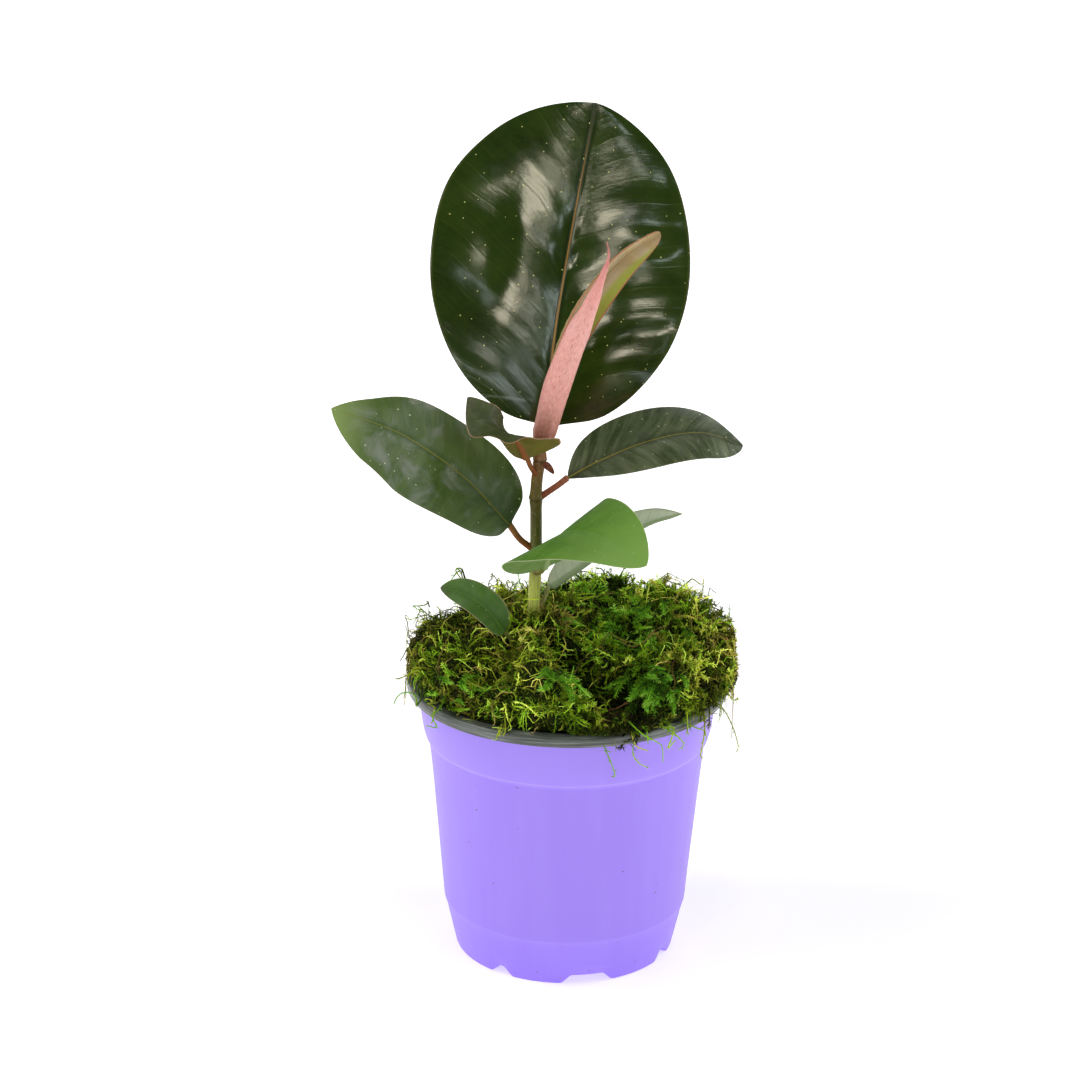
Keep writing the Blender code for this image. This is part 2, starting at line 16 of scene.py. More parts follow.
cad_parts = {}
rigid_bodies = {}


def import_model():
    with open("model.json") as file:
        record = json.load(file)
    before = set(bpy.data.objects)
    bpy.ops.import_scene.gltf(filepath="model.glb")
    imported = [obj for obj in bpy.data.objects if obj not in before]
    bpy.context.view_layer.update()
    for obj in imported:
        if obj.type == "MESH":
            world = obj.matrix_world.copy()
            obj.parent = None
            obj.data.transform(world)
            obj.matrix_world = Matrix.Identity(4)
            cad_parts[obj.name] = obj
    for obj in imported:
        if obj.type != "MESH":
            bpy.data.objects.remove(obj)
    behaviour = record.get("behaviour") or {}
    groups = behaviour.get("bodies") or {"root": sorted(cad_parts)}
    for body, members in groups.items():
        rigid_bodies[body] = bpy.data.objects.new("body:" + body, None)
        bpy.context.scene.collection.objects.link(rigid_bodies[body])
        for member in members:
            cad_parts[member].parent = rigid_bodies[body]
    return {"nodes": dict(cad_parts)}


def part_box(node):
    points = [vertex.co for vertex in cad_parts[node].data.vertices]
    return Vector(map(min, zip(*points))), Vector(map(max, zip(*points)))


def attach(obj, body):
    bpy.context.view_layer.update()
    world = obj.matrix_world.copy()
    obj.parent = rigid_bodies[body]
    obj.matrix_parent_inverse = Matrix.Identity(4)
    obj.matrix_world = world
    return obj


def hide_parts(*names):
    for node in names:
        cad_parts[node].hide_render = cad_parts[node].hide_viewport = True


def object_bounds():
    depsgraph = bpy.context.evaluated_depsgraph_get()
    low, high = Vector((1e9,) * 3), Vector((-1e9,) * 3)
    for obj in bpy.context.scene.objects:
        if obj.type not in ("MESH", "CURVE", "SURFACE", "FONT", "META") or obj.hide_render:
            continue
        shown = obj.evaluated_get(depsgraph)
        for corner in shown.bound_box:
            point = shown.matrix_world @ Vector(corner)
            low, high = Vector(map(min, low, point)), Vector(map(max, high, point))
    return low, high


for old in list(bpy.data.objects):
    bpy.data.objects.remove(old, do_unlink=True)
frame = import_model()
CAD_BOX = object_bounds()

MM = 0.001
POT_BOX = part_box("pot")
POT_MIDDLE = (POT_BOX[0] + POT_BOX[1]) / 2
AXIS = np.array([POT_MIDDLE.x, POT_MIDDLE.y, POT_BOX[0].z])
LOW = (np.array(CAD_BOX[0]) - AXIS) / MM
HIGH = (np.array(CAD_BOX[1]) - AXIS) / MM
BOX_SLACK = 0.01             # every mesh stays inside the solids' box by this

# Pot
RIM_RADIUS, RIM_TOP, LIP_HEIGHT = 54.0, 96.6, 3.7
COLLAR_RADIUS, SHOULDER_Z, SHOULDER_RADIUS = 50.0, 75.5, 47.2
CHAMFER_Z, CHAMFER_RADIUS = 17.0, 41.3
FOOT_Z, FOOT_TOP_RADIUS, FOOT_RADIUS, FOOT_WIDTH = 6.6, 38.7, 37.2, 3.2
BASE_RISE, WALL, NOTCH_HEIGHT, DRAIN_RADIUS, DRAIN_CIRCLE = 3.2, 1.0, 3.0, 3.5, 22.0
NOTCHES = ((-34, 12), (12.5, 26), (63.5, 13), (114, 26), (164, 13), (215, 26), (267, 13))
SOIL_TOP, SOCKET_FLOOR = 87.0, 58.0

# Stem and sheath
STEM_X, STEM_RADIUS, STEM_TOP, NODE_SWELL = -11.3, 1.95, 176.6, 0.35
STEM_NODES = (118.0, 130.0, 141.0, 159.0, 172.5)
RINGED = (159.0, 172.5)      # the lower leaf scars have grown over
STEM_LINE = [(STEM_X - 1.2, 0, SOCKET_FLOOR + 0.3), (STEM_X - 1.2, 0, 88), (STEM_X - 0.7, 0, 112),
             (STEM_X + 0.1, 0, 140), (STEM_X, 0, 162), (STEM_X + 1.1, 0, 173),
             (STEM_X + 1.2, 0, STEM_TOP)]
SHEATH_LINE = [(-10.1, 0, STEM_TOP - 0.4), (-10.0, 0, 178.4), (-8.4, -0.4, 183.5), (-4.6, 0, 198.5),
               (1.2, 1.5, 214.5), (5.6, 3, 224.5), (9.6, 4.6, 234.7), (11.2, 5.4, 240.5),
               (10.5, 5.8, 245.3)]
SHEATH_RADII = (2.3, 2.9, 4.2, 4.8, 4.2, 3.1, 1.6, 0.7, 0.3)


# ---------------------------------------------------------------- numbers
def unit(v):
    """Vectors of length one."""
    return v / np.maximum(np.linalg.norm(v, axis=-1, keepdims=True), 1e-9)


def smoothstep(low, high, v):
    """From 0 at low to 1 at high, eased at both ends."""
    u = np.clip((v - low) / (high - low), 0.0, 1.0)
    return u * u * (3 - 2 * u)


def bell(v, centre, width):
    """1 at the centre, falling away smoothly on both sides."""
    return np.exp(-((v - centre) / width) ** 2)


def spot_bell(x, y, centre_x, centre_y, area):
    """1 at a place on the ground, falling away smoothly round it."""
    return np.exp(-((x - centre_x) ** 2 + (y - centre_y) ** 2) / area)


def circle(sides):
    """Angles evenly spaced round a full turn."""
    return np.arange(sides) * 2 * np.pi / sides


def soft_limit(v, low, high, soft):
    """v pressed back smoothly where it comes close to low or high."""
    over = np.maximum(v - (high - soft), 0.0)
    v = np.where(over > 0, high - soft * np.exp(-over / soft), v)
    over = np.maximum(low + soft - v, 0.0)
    return np.where(over > 0, low + soft * np.exp(-over / soft), v)


def curve_points(points, t):
    """Points at t (0 to 1) on the Catmull-Rom curve through the given ones."""
    p = np.asarray(points, float)
    ends = np.vstack([2 * p[0] - p[1], p, 2 * p[-1] - p[-2]])
    place = np.clip(t, 0.0, 1.0) * (len(p) - 1)
    index = np.minimum(place.astype(int), len(p) - 2)
    u = (place - index)[:, None]
    a, b, c, d = (ends[index + i] for i in range(4))
    return 0.5 * (2 * b + (c - a) * u + (2 * a - 5 * b + 4 * c - d) * u ** 2
                  + (3 * b - a - 3 * c + d) * u ** 3)


def eased(values, t):
    """Values at t (0 to 1) from a list of evenly spaced numbers or vectors."""
    v = np.asarray(values, float)
    if len(v) == 1:
        return np.repeat(v, len(t), axis=0)
    place = np.clip(t, 0.0, 1.0) * (len(v) - 1)
    index = np.minimum(place.astype(int), len(v) - 2)
    u = place - index
    u = u * u * (3 - 2 * u)
    if v.ndim == 2:
        u = u[:, None]
    return v[index] * (1 - u) + v[index + 1] * u


def lumps(p, seed):
    """Smooth lattice noise from -1 to 1 at points of any shape (..., 3)."""
    cell = np.floor(p).astype(np.int64)
    f = p - cell
    f = f * f * (3 - 2 * f)
    total = np.zeros(p.shape[:-1])
    for corner in range(8):
        offset = np.array([corner & 1, (corner >> 1) & 1, corner >> 2])
        c = cell + offset
        h = (c[..., 0] * 73856093) ^ (c[..., 1] * 19349663) ^ (c[..., 2] * 83492791)
        h = h ^ (seed * 2654435)
        h = (h ^ (h >> 13)) * 1274126177 & 0x7FFFFFFF
        h = (h ^ (h >> 16)) & 0xFFFF
        weight = np.prod(np.where(offset, f, 1 - f), axis=-1)
        total += weight * (h / 32767.5 - 1.0)
    return total


# ---------------------------------------------------------------- meshes
def linked(name, data):
    """A new object of the scene."""
    obj = bpy.data.objects.new(name, data)
    bpy.context.scene.collection.objects.link(obj)
    return obj


def store(mesh, fields):
    """Keeps numbers for every point of a mesh, which its material reads."""
    for key, values in fields.items():
        field = mesh.attributes.new(key, "FLOAT", "POINT")
        field.data.foreach_set("value", np.asarray(values, np.float32).ravel())


def mesh_piece(name, points, faces, mat, nodes, fields=None):
    """A piece from points in millimetres and arrays of triangles or quads."""
    mesh = bpy.data.meshes.new(name)
    world = np.clip(points, LOW + BOX_SLACK, HIGH - BOX_SLACK) * MM + AXIS
    mesh.vertices.add(len(world))
    mesh.vertices.foreach_set("co", world.astype(np.float32).ravel())
    faces = [np.asarray(f, np.int32) for f in faces if len(f)]
    sizes = np.concatenate([np.full(len(f), f.shape[1], np.int32) for f in faces])
    corners = np.concatenate([f.ravel() for f in faces])
    mesh.loops.add(len(corners))
    mesh.loops.foreach_set("vertex_index", corners)
    mesh.polygons.add(len(sizes))
    starts = np.concatenate([[0], np.cumsum(sizes)[:-1]])
    mesh.polygons.foreach_set("loop_start", starts.astype(np.int32))
    mesh.polygons.foreach_set("use_smooth", np.ones(len(sizes), bool))
    mesh.update(calc_edges=True)
    mesh.validate()
    store(mesh, fields or {})
    mesh.materials.append(mat)
    obj = linked(name, mesh)
    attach(obj, "root")
    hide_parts(*nodes)
    return obj


def ring_quads(rings, count):
    """Quads between neighbouring closed rings of equal count, numbered ring by ring."""
    i = np.arange(count)
    j = (i + 1) % count
    a = np.arange(rings - 1)[:, None] * count
    return np.stack([a + i, a + j, a + count + j, a + count + i], -1).reshape(-1, 4)


def fan(ring, apex, flip=False):
    """Triangles from a ring of points to one point."""
    ring = np.asarray(ring)
    nxt = np.roll(ring, -1)
    tris = np.stack([ring, nxt, np.full(len(ring), apex)], -1)
    return tris[:, ::-1] if flip else tris


def section(side, face, sideways, upward):
    """Steps sideways and upward in each section's own frame."""
    return side[..., None, :] * sideways[..., None] + face[..., None, :] * upward[..., None]


# ---------------------------------------------------------------- materials
def linear(colour):
    """A colour given as it looks on screen (0 to 255), in linear light and opaque."""
    return (*(v / 12.92 if v <= 0.04045 else ((v + 0.055) / 1.055) ** 2.4
              for v in (c / 255 for c in colour)), 1.0)


class Shader:
    """A Principled material built node by node.

    Inputs are numbers, sockets, screen colours of three values or linear ones of four.
    """

    def __init__(self, name, **settings):
        self.mat = bpy.data.materials.new(name)
        self.mat.use_nodes = True
        self.tree = self.mat.node_tree
        self.tree.nodes.clear()
        self.bsdf = self.node("ShaderNodeBsdfPrincipled")
        for key, value in settings.items():
            self.set(key.replace("_", " "), value)
        out = self.node("ShaderNodeOutputMaterial")
        self.tree.links.new(self.bsdf.outputs[0], out.inputs[0])

    def set(self, key, value):
        self.plug(self.bsdf.inputs[key], value)

    def plug(self, socket, value):
        if isinstance(value, bpy.types.NodeSocket):
            self.tree.links.new(value, socket)
        elif isinstance(value, tuple) and len(value) == 3 and socket.type == "RGBA":
            socket.default_value = linear(value)
        else:
            socket.default_value = value

    def node(self, kind, *inputs, **props):
        made = self.tree.nodes.new(kind)
        for key, value in props.items():
            setattr(made, key, value)
        for key, value in inputs:
            self.plug(made.inputs[key], value)
        return made

    def field(self, name):
        return self.node("ShaderNodeAttribute", attribute_name=name).outputs["Fac"]

    def fields(self, *names):
        return [self.field(name) for name in names]

    def place(self):
        return self.node("ShaderNodeTexCoord").outputs["Object"]

    def math(self, operation, a, b=0.0, c=0.0):
        return self.node("ShaderNodeMath", *enumerate((a, b, c)), operation=operation).outputs[0]

    def times(self, a, b):
        return self.math("MULTIPLY", a, b)

    def plus(self, a, b):
        return self.math("ADD", a, b)

    def minus(self, a, b):
        return self.math("SUBTRACT", a, b)

    def size_of(self, value):
        return self.math("ABSOLUTE", value)

    def span(self, value, low, high, start=0.0, end=1.0):
        """start where value is low, end where it is high, eased in between."""
        pairs = ((0, value), (1, low), (2, high), (3, start), (4, end))
        return self.node("ShaderNodeMapRange", *pairs, interpolation_type="SMOOTHSTEP").outputs[0]

    def mix(self, share, a, b, blend="MIX"):
        pairs = ((0, share), (6, a), (7, b))
        return self.node("ShaderNodeMix", *pairs, data_type="RGBA", blend_type=blend).outputs[2]

    def lay(self, base, colour, mask, share):
        """The base with a colour over it, at this share where the mask is 1."""
        return self.mix(self.times(mask, share), base, colour)

    def ramp(self, value, *stops):
        made = self.node("ShaderNodeValToRGB", (0, value))
        elements = made.color_ramp.elements
        while len(elements) < len(stops):
            elements.new(0.5)
        for element, (place, colour) in zip(elements, stops):
            element.position = place
            element.color = linear(colour)
        return made.outputs[0]

    def vector(self, x, y, z=0.0):
        return self.node("ShaderNodeCombineXYZ", (0, x), (1, y), (2, z)).outputs[0]

    def split(self, vector):
        return self.node("ShaderNodeSeparateXYZ", (0, vector)).outputs

    def stretch(self, vector, scale):
        return self.node("ShaderNodeMapping", ("Vector", vector), ("Scale", scale)).outputs[0]

    def noise(self, vector, scale, detail=2.0, rough=0.5, warp=0.0):
        pairs = (("Vector", vector), ("Scale", scale), ("Detail", detail), ("Roughness", rough),
                 ("Distortion", warp))
        return self.node("ShaderNodeTexNoise", *pairs).outputs["Fac"]

    def cells(self, vector, scale, feature="F1", flat=True):
        made = self.node("ShaderNodeTexVoronoi", ("Vector", vector), ("Scale", scale), feature=feature,
                         voronoi_dimensions="2D" if flat else "3D")
        return made.outputs["Distance"], made.outputs.get("Color")

    def bump(self, height, strength, distance, under=None):
        pairs = [("Height", height), ("Strength", strength), ("Distance", distance)]
        if under is not None:
            pairs.append(("Normal", under))
        return self.node("ShaderNodeBump", *pairs).outputs[0]


# ---------------------------------------------------------------- camera, lights, floor
CAMERA_DISTANCE, CAMERA_AIM, CAMERA_RISE, CAMERA_ROLL = 1100.0, 150.0, 19.6, 0.87
CAMERA_LENS, CAMERA_SHIFT, SENSOR_WIDTH = 110.87, (-0.0278, -0.0139), 36.0
CLIP_NEAR, CLIP_FAR = 0.05, 20.0
SKY_LOW, SKY_HIGH, SKY_FADE = 0.52, 0.08, (0.10, 0.65)   # the room is bright low down, dark above
SKY_TINT, WHITE = (0.96, 0.98, 1.0, 1.0), (1.0, 1.0, 1.0, 1.0)
FLOOR_HALF, FLOOR_DROP = 3.0, 0.00005
FLOOR_PALE, FLOOR_PALER = (0.90, 0.90, 0.90, 1.0), (0.93, 0.93, 0.93, 1.0)
FLOOR_GLOW, GLOW_SPAN = 0.50, (0.10, 0.70)               # the floor glows more away from the pot
LAMP_AIM = Vector((0, 0, 160))
WARM, COOL, SKY_BLUE = (1.0, 0.95, 0.86), (0.90, 0.95, 1.0), (0.74, 0.87, 1.0)
LAMPS = {   # the way to it, its distance and size in metres, then its power and tint
    "key": ((0.02, -0.33, 0.944), 1.6, (0.26, 0.15), 1.75, WARM),
    "glint_front": ((0.01, -0.432, 0.902), 1.3, (0.15, 0.075), 0.27, (1.0, 0.96, 0.88)),
    "glint_low": ((0.148, -0.385, 0.911), 1.3, (0.10, 0.08), 0.18, (0.94, 0.97, 1.0)),
    "glint_right": ((0.289, -0.370, 0.883), 1.3, (0.12, 0.10), 0.28, SKY_BLUE),
    "glint_left": ((-0.058, -0.145, 0.988), 1.2, (0.09, 0.10), 0.11, (0.75, 0.88, 1.0)),
    "top_left": ((-0.72, -0.02, 0.80), 1.3, (0.40, 0.55), 5.2, WHITE[:3]),
    "top_right": ((0.74, 0.10, 0.78), 1.3, (0.40, 0.55), 3.6, WHITE[:3]),
    "fill_left": ((-0.95, -0.50, 0.42), 1.3, (0.35, 0.8), 2.4, COOL),
    "fill_right": ((0.95, -0.60, 0.40), 1.3, (0.35, 0.8), 2.3, COOL),
    "rim": ((0.15, 0.95, 0.55), 1.4, (0.9, 0.5), 2.4, WHITE[:3]),
}


def make_camera():
    rise = math.radians(CAMERA_RISE)
    back = Vector((0.0, -math.cos(rise), math.sin(rise)))
    data = bpy.data.cameras.new("camera")
    data.sensor_width, data.lens = SENSOR_WIDTH, CAMERA_LENS
    data.shift_x, data.shift_y = CAMERA_SHIFT
    data.clip_start, data.clip_end = CLIP_NEAR, CLIP_FAR
    camera = linked("camera", data)
    aim = Vector(AXIS) + Vector((0, 0, CAMERA_AIM * MM))
    roll = Matrix.Rotation(math.radians(CAMERA_ROLL), 3, "Z").to_quaternion()
    turn = (-back).to_track_quat("-Z", "Y") @ roll
    camera.matrix_world = Matrix.LocRotScale(aim + back * CAMERA_DISTANCE * MM, turn, None)
    bpy.context.scene.camera = camera


def make_lamp(name, direction, distance, size, power, tint):
    data = bpy.data.lights.new(name, "AREA")
    data.shape, data.size, data.size_y = "RECTANGLE", *size
    data.energy, data.color = power, tint
    lamp = linked(name, data)
    way = Vector(direction).normalized()
    target = Vector(AXIS) + LAMP_AIM * MM
    turn = way.to_track_quat("Z", "Y")
    lamp.matrix_world = Matrix.LocRotScale(target + way * distance, turn, None)


def make_sky():
    """A room that lights the plant and looks plain white to the camera."""
    world = bpy.data.worlds.new("studio")
    bpy.context.scene.world = world
    world.use_nodes = True
    tree = world.node_tree
    tree.nodes.clear()
    light, where, parts, fade, seen, path, choose, out = (tree.nodes.new("ShaderNode" + kind) for kind in (
        "Background", "TexCoord", "SeparateXYZ", "MapRange", "Background", "LightPath", "MixShader",
        "OutputWorld"))
    light.inputs[0].default_value = SKY_TINT
    seen.inputs[0].default_value = WHITE
    seen.inputs[1].default_value = 1.0
    fade.interpolation_type = "SMOOTHSTEP"
    for socket, value in zip(fade.inputs[1:5], (*SKY_FADE, SKY_LOW, SKY_HIGH)):
        socket.default_value = value
    for source, key, target, index in (
            (where, "Generated", parts, 0), (parts, "Z", fade, 0), (fade, 0, light, 1),
            (path, "Is Camera Ray", choose, 0), (light, 0, choose, 1), (seen, 0, choose, 2),
            (choose, 0, out, 0)):
        tree.links.new(source.outputs[key], target.inputs[index])


def floor_material():
    s = Shader("floor_paper", Roughness=0.9)
    fine = s.noise(s.place(), 900.0, 2.0)
    s.set("Base Color", s.mix(fine, FLOOR_PALE, FLOOR_PALER))
    s.set("Emission Color", WHITE)
    x, y, _ = s.split(s.place())
    far = s.math("SQRT", s.plus(s.math("POWER", x, 2.0), s.math("POWER", y, 2.0)))
    s.set("Emission Strength", s.span(far, *GLOW_SPAN, FLOOR_GLOW, 1.0))
    return s.mat


def make_floor():
    mesh = bpy.data.meshes.new("floor")
    corners = [(x * FLOOR_HALF, y * FLOOR_HALF, 0) for x, y in ((-1, -1), (1, -1), (1, 1), (-1, 1))]
    mesh.from_pydata(corners, [], [(0, 1, 2, 3)])
    mesh.materials.append(floor_material())
    floor = linked("floor", mesh)
    floor.location = Vector(AXIS) - Vector((0, 0, FLOOR_DROP))


make_camera()
make_sky()
make_floor()
for lamp_name, lamp_values in LAMPS.items():
    make_lamp(lamp_name, *lamp_values)
bpy.context.scene.view_settings.view_transform = "Standard"
bpy.context.scene.view_settings.look = "None"


# ---------------------------------------------------------------- pot
POT_STEPS, PROFILE_STEP, FILLET_STEPS = 360, 4.0, 5
LINING = ((BASE_RISE, 34.5), (FOOT_Z + 0.6, 37.7), (CHAMFER_Z, 40.3), (SHOULDER_Z, 45.6),
          (SHOULDER_Z + 1.2, 46.2), (RIM_TOP - 8, 49.0))    # heights and radii of the dark inside
HOLES, HOLE_SIDES = 6, 40


def partway(here, other, size):
    """The point this far from here towards another, or not quite half way."""
    gap = np.linalg.norm(other - here)
    return here + (other - here) / gap * min(size, 0.48 * gap)


def filleted(corners):
    """A profile of (r, z, rounding) corners, each but the ends rounded by a short curve."""
    pts = np.array([corner[:2] for corner in corners], float)
    out = [pts[0]]
    for before, here, after, corner in zip(pts, pts[1:], pts[2:], corners[1:]):
        a, b = partway(here, before, corner[2]), partway(here, after, corner[2])
        for u in (i / FILLET_STEPS for i in range(FILLET_STEPS + 1)):
            out.append(a * (1 - u) ** 2 + here * 2 * u * (1 - u) + b * u * u)
    return np.array(out + [pts[-1]])


def foot_rise(theta):
    """How far the foot's lower edge is cut away at an angle from the front towards +X."""
    rise = np.zeros_like(theta)
    for centre, width in NOTCHES:
        off = np.abs((theta - math.radians(centre) + math.pi) % (2 * math.pi) - math.pi)
        inside = (math.radians(width / 2) - off) * FOOT_RADIUS
        rise = np.maximum(rise, NOTCH_HEIGHT * smoothstep(-0.9, 3.4, inside))
    return rise


def pot_profile():
    """Points (r, z) from the middle of the inner floor, over the lip, to the middle of the base."""
    under = RIM_TOP - LIP_HEIGHT
    corners = [
        (0.05, BASE_RISE + WALL, 0), (FOOT_TOP_RADIUS - 3.2, BASE_RISE + WALL, 1.5),
        (FOOT_TOP_RADIUS - WALL, FOOT_Z + 0.6, 1.0), (CHAMFER_RADIUS - WALL, CHAMFER_Z + 0.4, 2.0),
        (SHOULDER_RADIUS - 1.6, SHOULDER_Z, 0.6), (SHOULDER_RADIUS - WALL, SHOULDER_Z + 1.2, 0.6),
        (COLLAR_RADIUS - WALL, RIM_TOP - 8.0, 2.0), (COLLAR_RADIUS - 0.9, RIM_TOP, 1.5),
        (RIM_RADIUS, RIM_TOP, 1.5), (RIM_RADIUS, under, 0.9), (COLLAR_RADIUS + 0.35, under, 0.25),
        (COLLAR_RADIUS + 0.25, under - 0.6, 0.3), (COLLAR_RADIUS - 0.2, under - 5.0, 2.0),
        (COLLAR_RADIUS - 1.3, SHOULDER_Z + 4.5, 2.0), (SHOULDER_RADIUS + 0.55, SHOULDER_Z + 0.9, 0.8),
        (SHOULDER_RADIUS - 0.6, SHOULDER_Z - 0.2, 0.5), (CHAMFER_RADIUS, CHAMFER_Z, 1.2),
        (CHAMFER_RADIUS - 0.75, CHAMFER_Z - 2.2, 1.0), (FOOT_TOP_RADIUS, FOOT_Z, 1.0),
        (FOOT_RADIUS, 0.0, 0.5), (FOOT_RADIUS - FOOT_WIDTH, 0.0, 0.4),
        (FOOT_RADIUS - FOOT_WIDTH - 0.4, BASE_RISE, 0.4), (0.05, BASE_RISE, 0)]
    profile = filleted(corners)
    cut = []
    for a, b in zip(profile, profile[1:]):
        wall = min(a[0], b[0]) > 30
        cuts = max(1, int(np.linalg.norm(b - a) / PROFILE_STEP)) if wall else 1
        cut += [a + (b - a) * i / cuts for i in range(cuts)]
    return np.array(cut + [profile[-1]])


def make_pot():
    profile = pot_profile()
    count = len(profile)
    theta = circle(POT_STEPS)
    rise = foot_rise(theta)
    r = profile[:, 0][:, None] * np.ones(POT_STEPS)
    z = profile[:, 1][:, None] * np.ones(POT_STEPS)
    outer = (np.arange(count) > count // 2)[:, None] & (r > FOOT_RADIUS - FOOT_WIDTH - 0.6)
    lifted = rise + z * (FOOT_Z - rise) / FOOT_Z
    z = np.where(outer & (z < FOOT_Z), np.maximum(z, lifted), z)
    # thermoformed walls are never quite true: slow ripples of a tenth of a millimetre
    wall = smoothstep(12, 30, z) * smoothstep(SHOULDER_Z, SHOULDER_Z - 12, z)
    r = r + 0.10 * wall * np.sin(3 * theta + 0.04 * z) - 0.10 * wall
    points = np.stack([r * np.sin(theta), -r * np.cos(theta), z], -1).reshape(-1, 3)
    first, last = np.arange(POT_STEPS), (count - 1) * POT_STEPS + np.arange(POT_STEPS)
    tris = np.vstack([fan(first, len(points), True), fan(last, len(points) + 1)])
    points = np.vstack([points, [0, 0, BASE_RISE + WALL], [0, 0, BASE_RISE]])
    faces = [ring_quads(count, POT_STEPS), tris]
    pot = mesh_piece("pot_body", points, faces, pot_material(), ["pot"])
    drill(pot)
    co = np.zeros(len(pot.data.vertices) * 3, np.float32)
    pot.data.vertices.foreach_get("co", co)
    x, y, z = ((co.reshape(-1, 3) - AXIS) / MM).T
    inside = (np.hypot(x, y) < np.interp(z, *zip(*LINING)) + 0.45) & (z > BASE_RISE + 0.6)
    store(pot.data, {"height_mm": z, "lining": inside, "turn_mm": np.arctan2(x, -y) * RIM_RADIUS})


def drill(pot):
    """Cuts the drain holes through the base: one in the middle and a circle of them."""
    angles = [2 * math.pi * i / HOLES for i in range(HOLES)]
    places = [(0.0, 0.0)] + [(DRAIN_CIRCLE * math.sin(a), -DRAIN_CIRCLE * math.cos(a)) for a in angles]
    round_hole = [2 * math.pi * i / HOLE_SIDES for i in range(HOLE_SIDES)]
    points, faces = [], []
    for x, y in places:
        low = [len(points) + i for i in range(HOLE_SIDES)]
        high = [i + HOLE_SIDES for i in low]
        for z in (0.0, BASE_RISE + WALL + 3.0):
            points += [(x + DRAIN_RADIUS * math.cos(a), y + DRAIN_RADIUS * math.sin(a), z)
                       for a in round_hole]
        faces += list(zip(low, low[1:] + low[:1], high[1:] + high[:1], high))
        faces += [tuple(reversed(low)), tuple(high)]
    mesh = bpy.data.meshes.new("drill_bits")
    mesh.from_pydata([Vector(AXIS) + Vector(p) * MM for p in points], [], faces)
    tool = linked("drill_bits", mesh)
    cut = pot.modifiers.new("drain", "BOOLEAN")
    cut.operation, cut.solver, cut.object = "DIFFERENCE", "EXACT", tool
    graph = bpy.context.evaluated_depsgraph_get()
    done = bpy.data.meshes.new_from_object(pot.evaluated_get(graph))
    pot.modifiers.clear()
    pot.data = done
    bpy.data.objects.remove(tool, do_unlink=True)


def pot_material():
    """Lilac plastic with specks, scuffs and painted highlights on its ledges; the lip and the inside are grey
    with pale streaks of painted highlight.
    """
    s = Shader("pot_plastic_look", IOR=1.46, Coat_Weight=0.12, Coat_Roughness=0.25)
    height, lining, turn = s.fields("height_mm", "lining", "turn_mm")
    around = s.vector(turn, height)
    cloud = s.noise(s.stretch(around, (1.0, 0.12, 1.0)), 0.09, 3.0, 0.55)
    lilac = s.mix(s.span(cloud, 0.35, 0.7), (168, 136, 252), (171, 140, 253))
    lilac = s.lay(lilac, (160, 128, 254), s.span(height, 24.0, 2.0), 0.5)
    lilac = s.lay(lilac, (174, 146, 255), s.span(height, SHOULDER_Z - 0.5, SHOULDER_Z + 2.5), 0.5)
    scuff = s.noise(s.stretch(around, (0.25, 1.6, 1.0)), 0.9, 4.0, 0.6)
    lilac = s.mix(s.span(scuff, 0.62, 0.80, 0.0, 0.16), lilac, (205, 190, 255))
    near, tint = s.cells(around, 0.16)
    chance, size, _ = s.split(tint)
    speck = s.math("LESS_THAN", near, s.span(size, 0.0, 1.0, 0.014, 0.048))
    speck = s.times(speck, s.span(chance, 0.87, 0.89))
    # painted highlights: pale lines where the shoulder, the chamfer and the step under the lip catch the
    # light
    for edge, wide, share in ((SHOULDER_Z + 1.2, 0.45, 0.25), (CHAMFER_Z - 0.2, 0.5, 0.10),
                              (RIM_TOP - LIP_HEIGHT - 0.75, 0.45, 0.45)):
        off = s.size_of(s.minus(height, edge))
        lilac = s.mix(s.span(off, wide, wide * 0.3, 0.0, share), lilac, (214, 200, 255))
    grime = s.times(s.span(s.noise(around, 0.5, 4.0, 0.7), 0.66, 0.80), s.span(height, 30.0, 0.0))
    lilac = s.lay(lilac, (70, 60, 90), speck, 0.8)
    lilac = s.lay(lilac, (96, 80, 130), grime, 0.25)
    # grey for the lip and the inside; its pale streaks are painted highlights
    streak = s.noise(s.stretch(around, (0.06, 1.6, 1.0)), 0.9, 3.0, 0.6)
    grey = s.ramp(streak, (0.30, (52, 54, 50)), (0.50, (88, 92, 86)), (0.70, (146, 150, 144)))
    lip = s.span(height, RIM_TOP - LIP_HEIGHT - 0.25, RIM_TOP - LIP_HEIGHT - 0.05)
    dark = s.math("MAXIMUM", lip, s.span(lining, 0.4, 0.6))
    s.set("Base Color", s.mix(dark, lilac, grey))
    fine = s.noise(around, 2.6, 3.0, 0.6)
    s.set("Roughness", s.plus(s.span(dark, 0.0, 1.0, 0.40, 0.24), s.times(fine, 0.10)))
    wobble = s.noise(s.stretch(around, (1.0, 0.15, 1.0)), 0.12, 2.0)
    s.set("Normal", s.bump(fine, 0.25, 0.00008, s.bump(wobble, 0.3, 0.0004)))
    return s.mat


def soil_material():
    s = Shader("soil_look")
    place = s.place()
    big = s.cells(place, 420.0, flat=False)[0]
    fine = s.noise(place, 1500.0, 5.0, 0.65)
    crumbs = s.plus(s.times(big, 0.5), s.times(fine, 0.6))
    s.set("Base Color", s.ramp(crumbs, (0.30, (22, 15, 10)), (0.55, (52, 36, 24)),
                               (0.85, (96, 72, 50))))
    s.set("Roughness", s.plus(0.85, s.times(fine, 0.12)))
    s.set("Normal", s.bump(fine, 0.9, 0.0008, s.bump(big, 1.0, 0.0020)))
    return s.mat


make_pot()
soil = frame["nodes"]["potting_soil"]
soil.data.materials.clear()
soil.data.materials.append(soil_material())


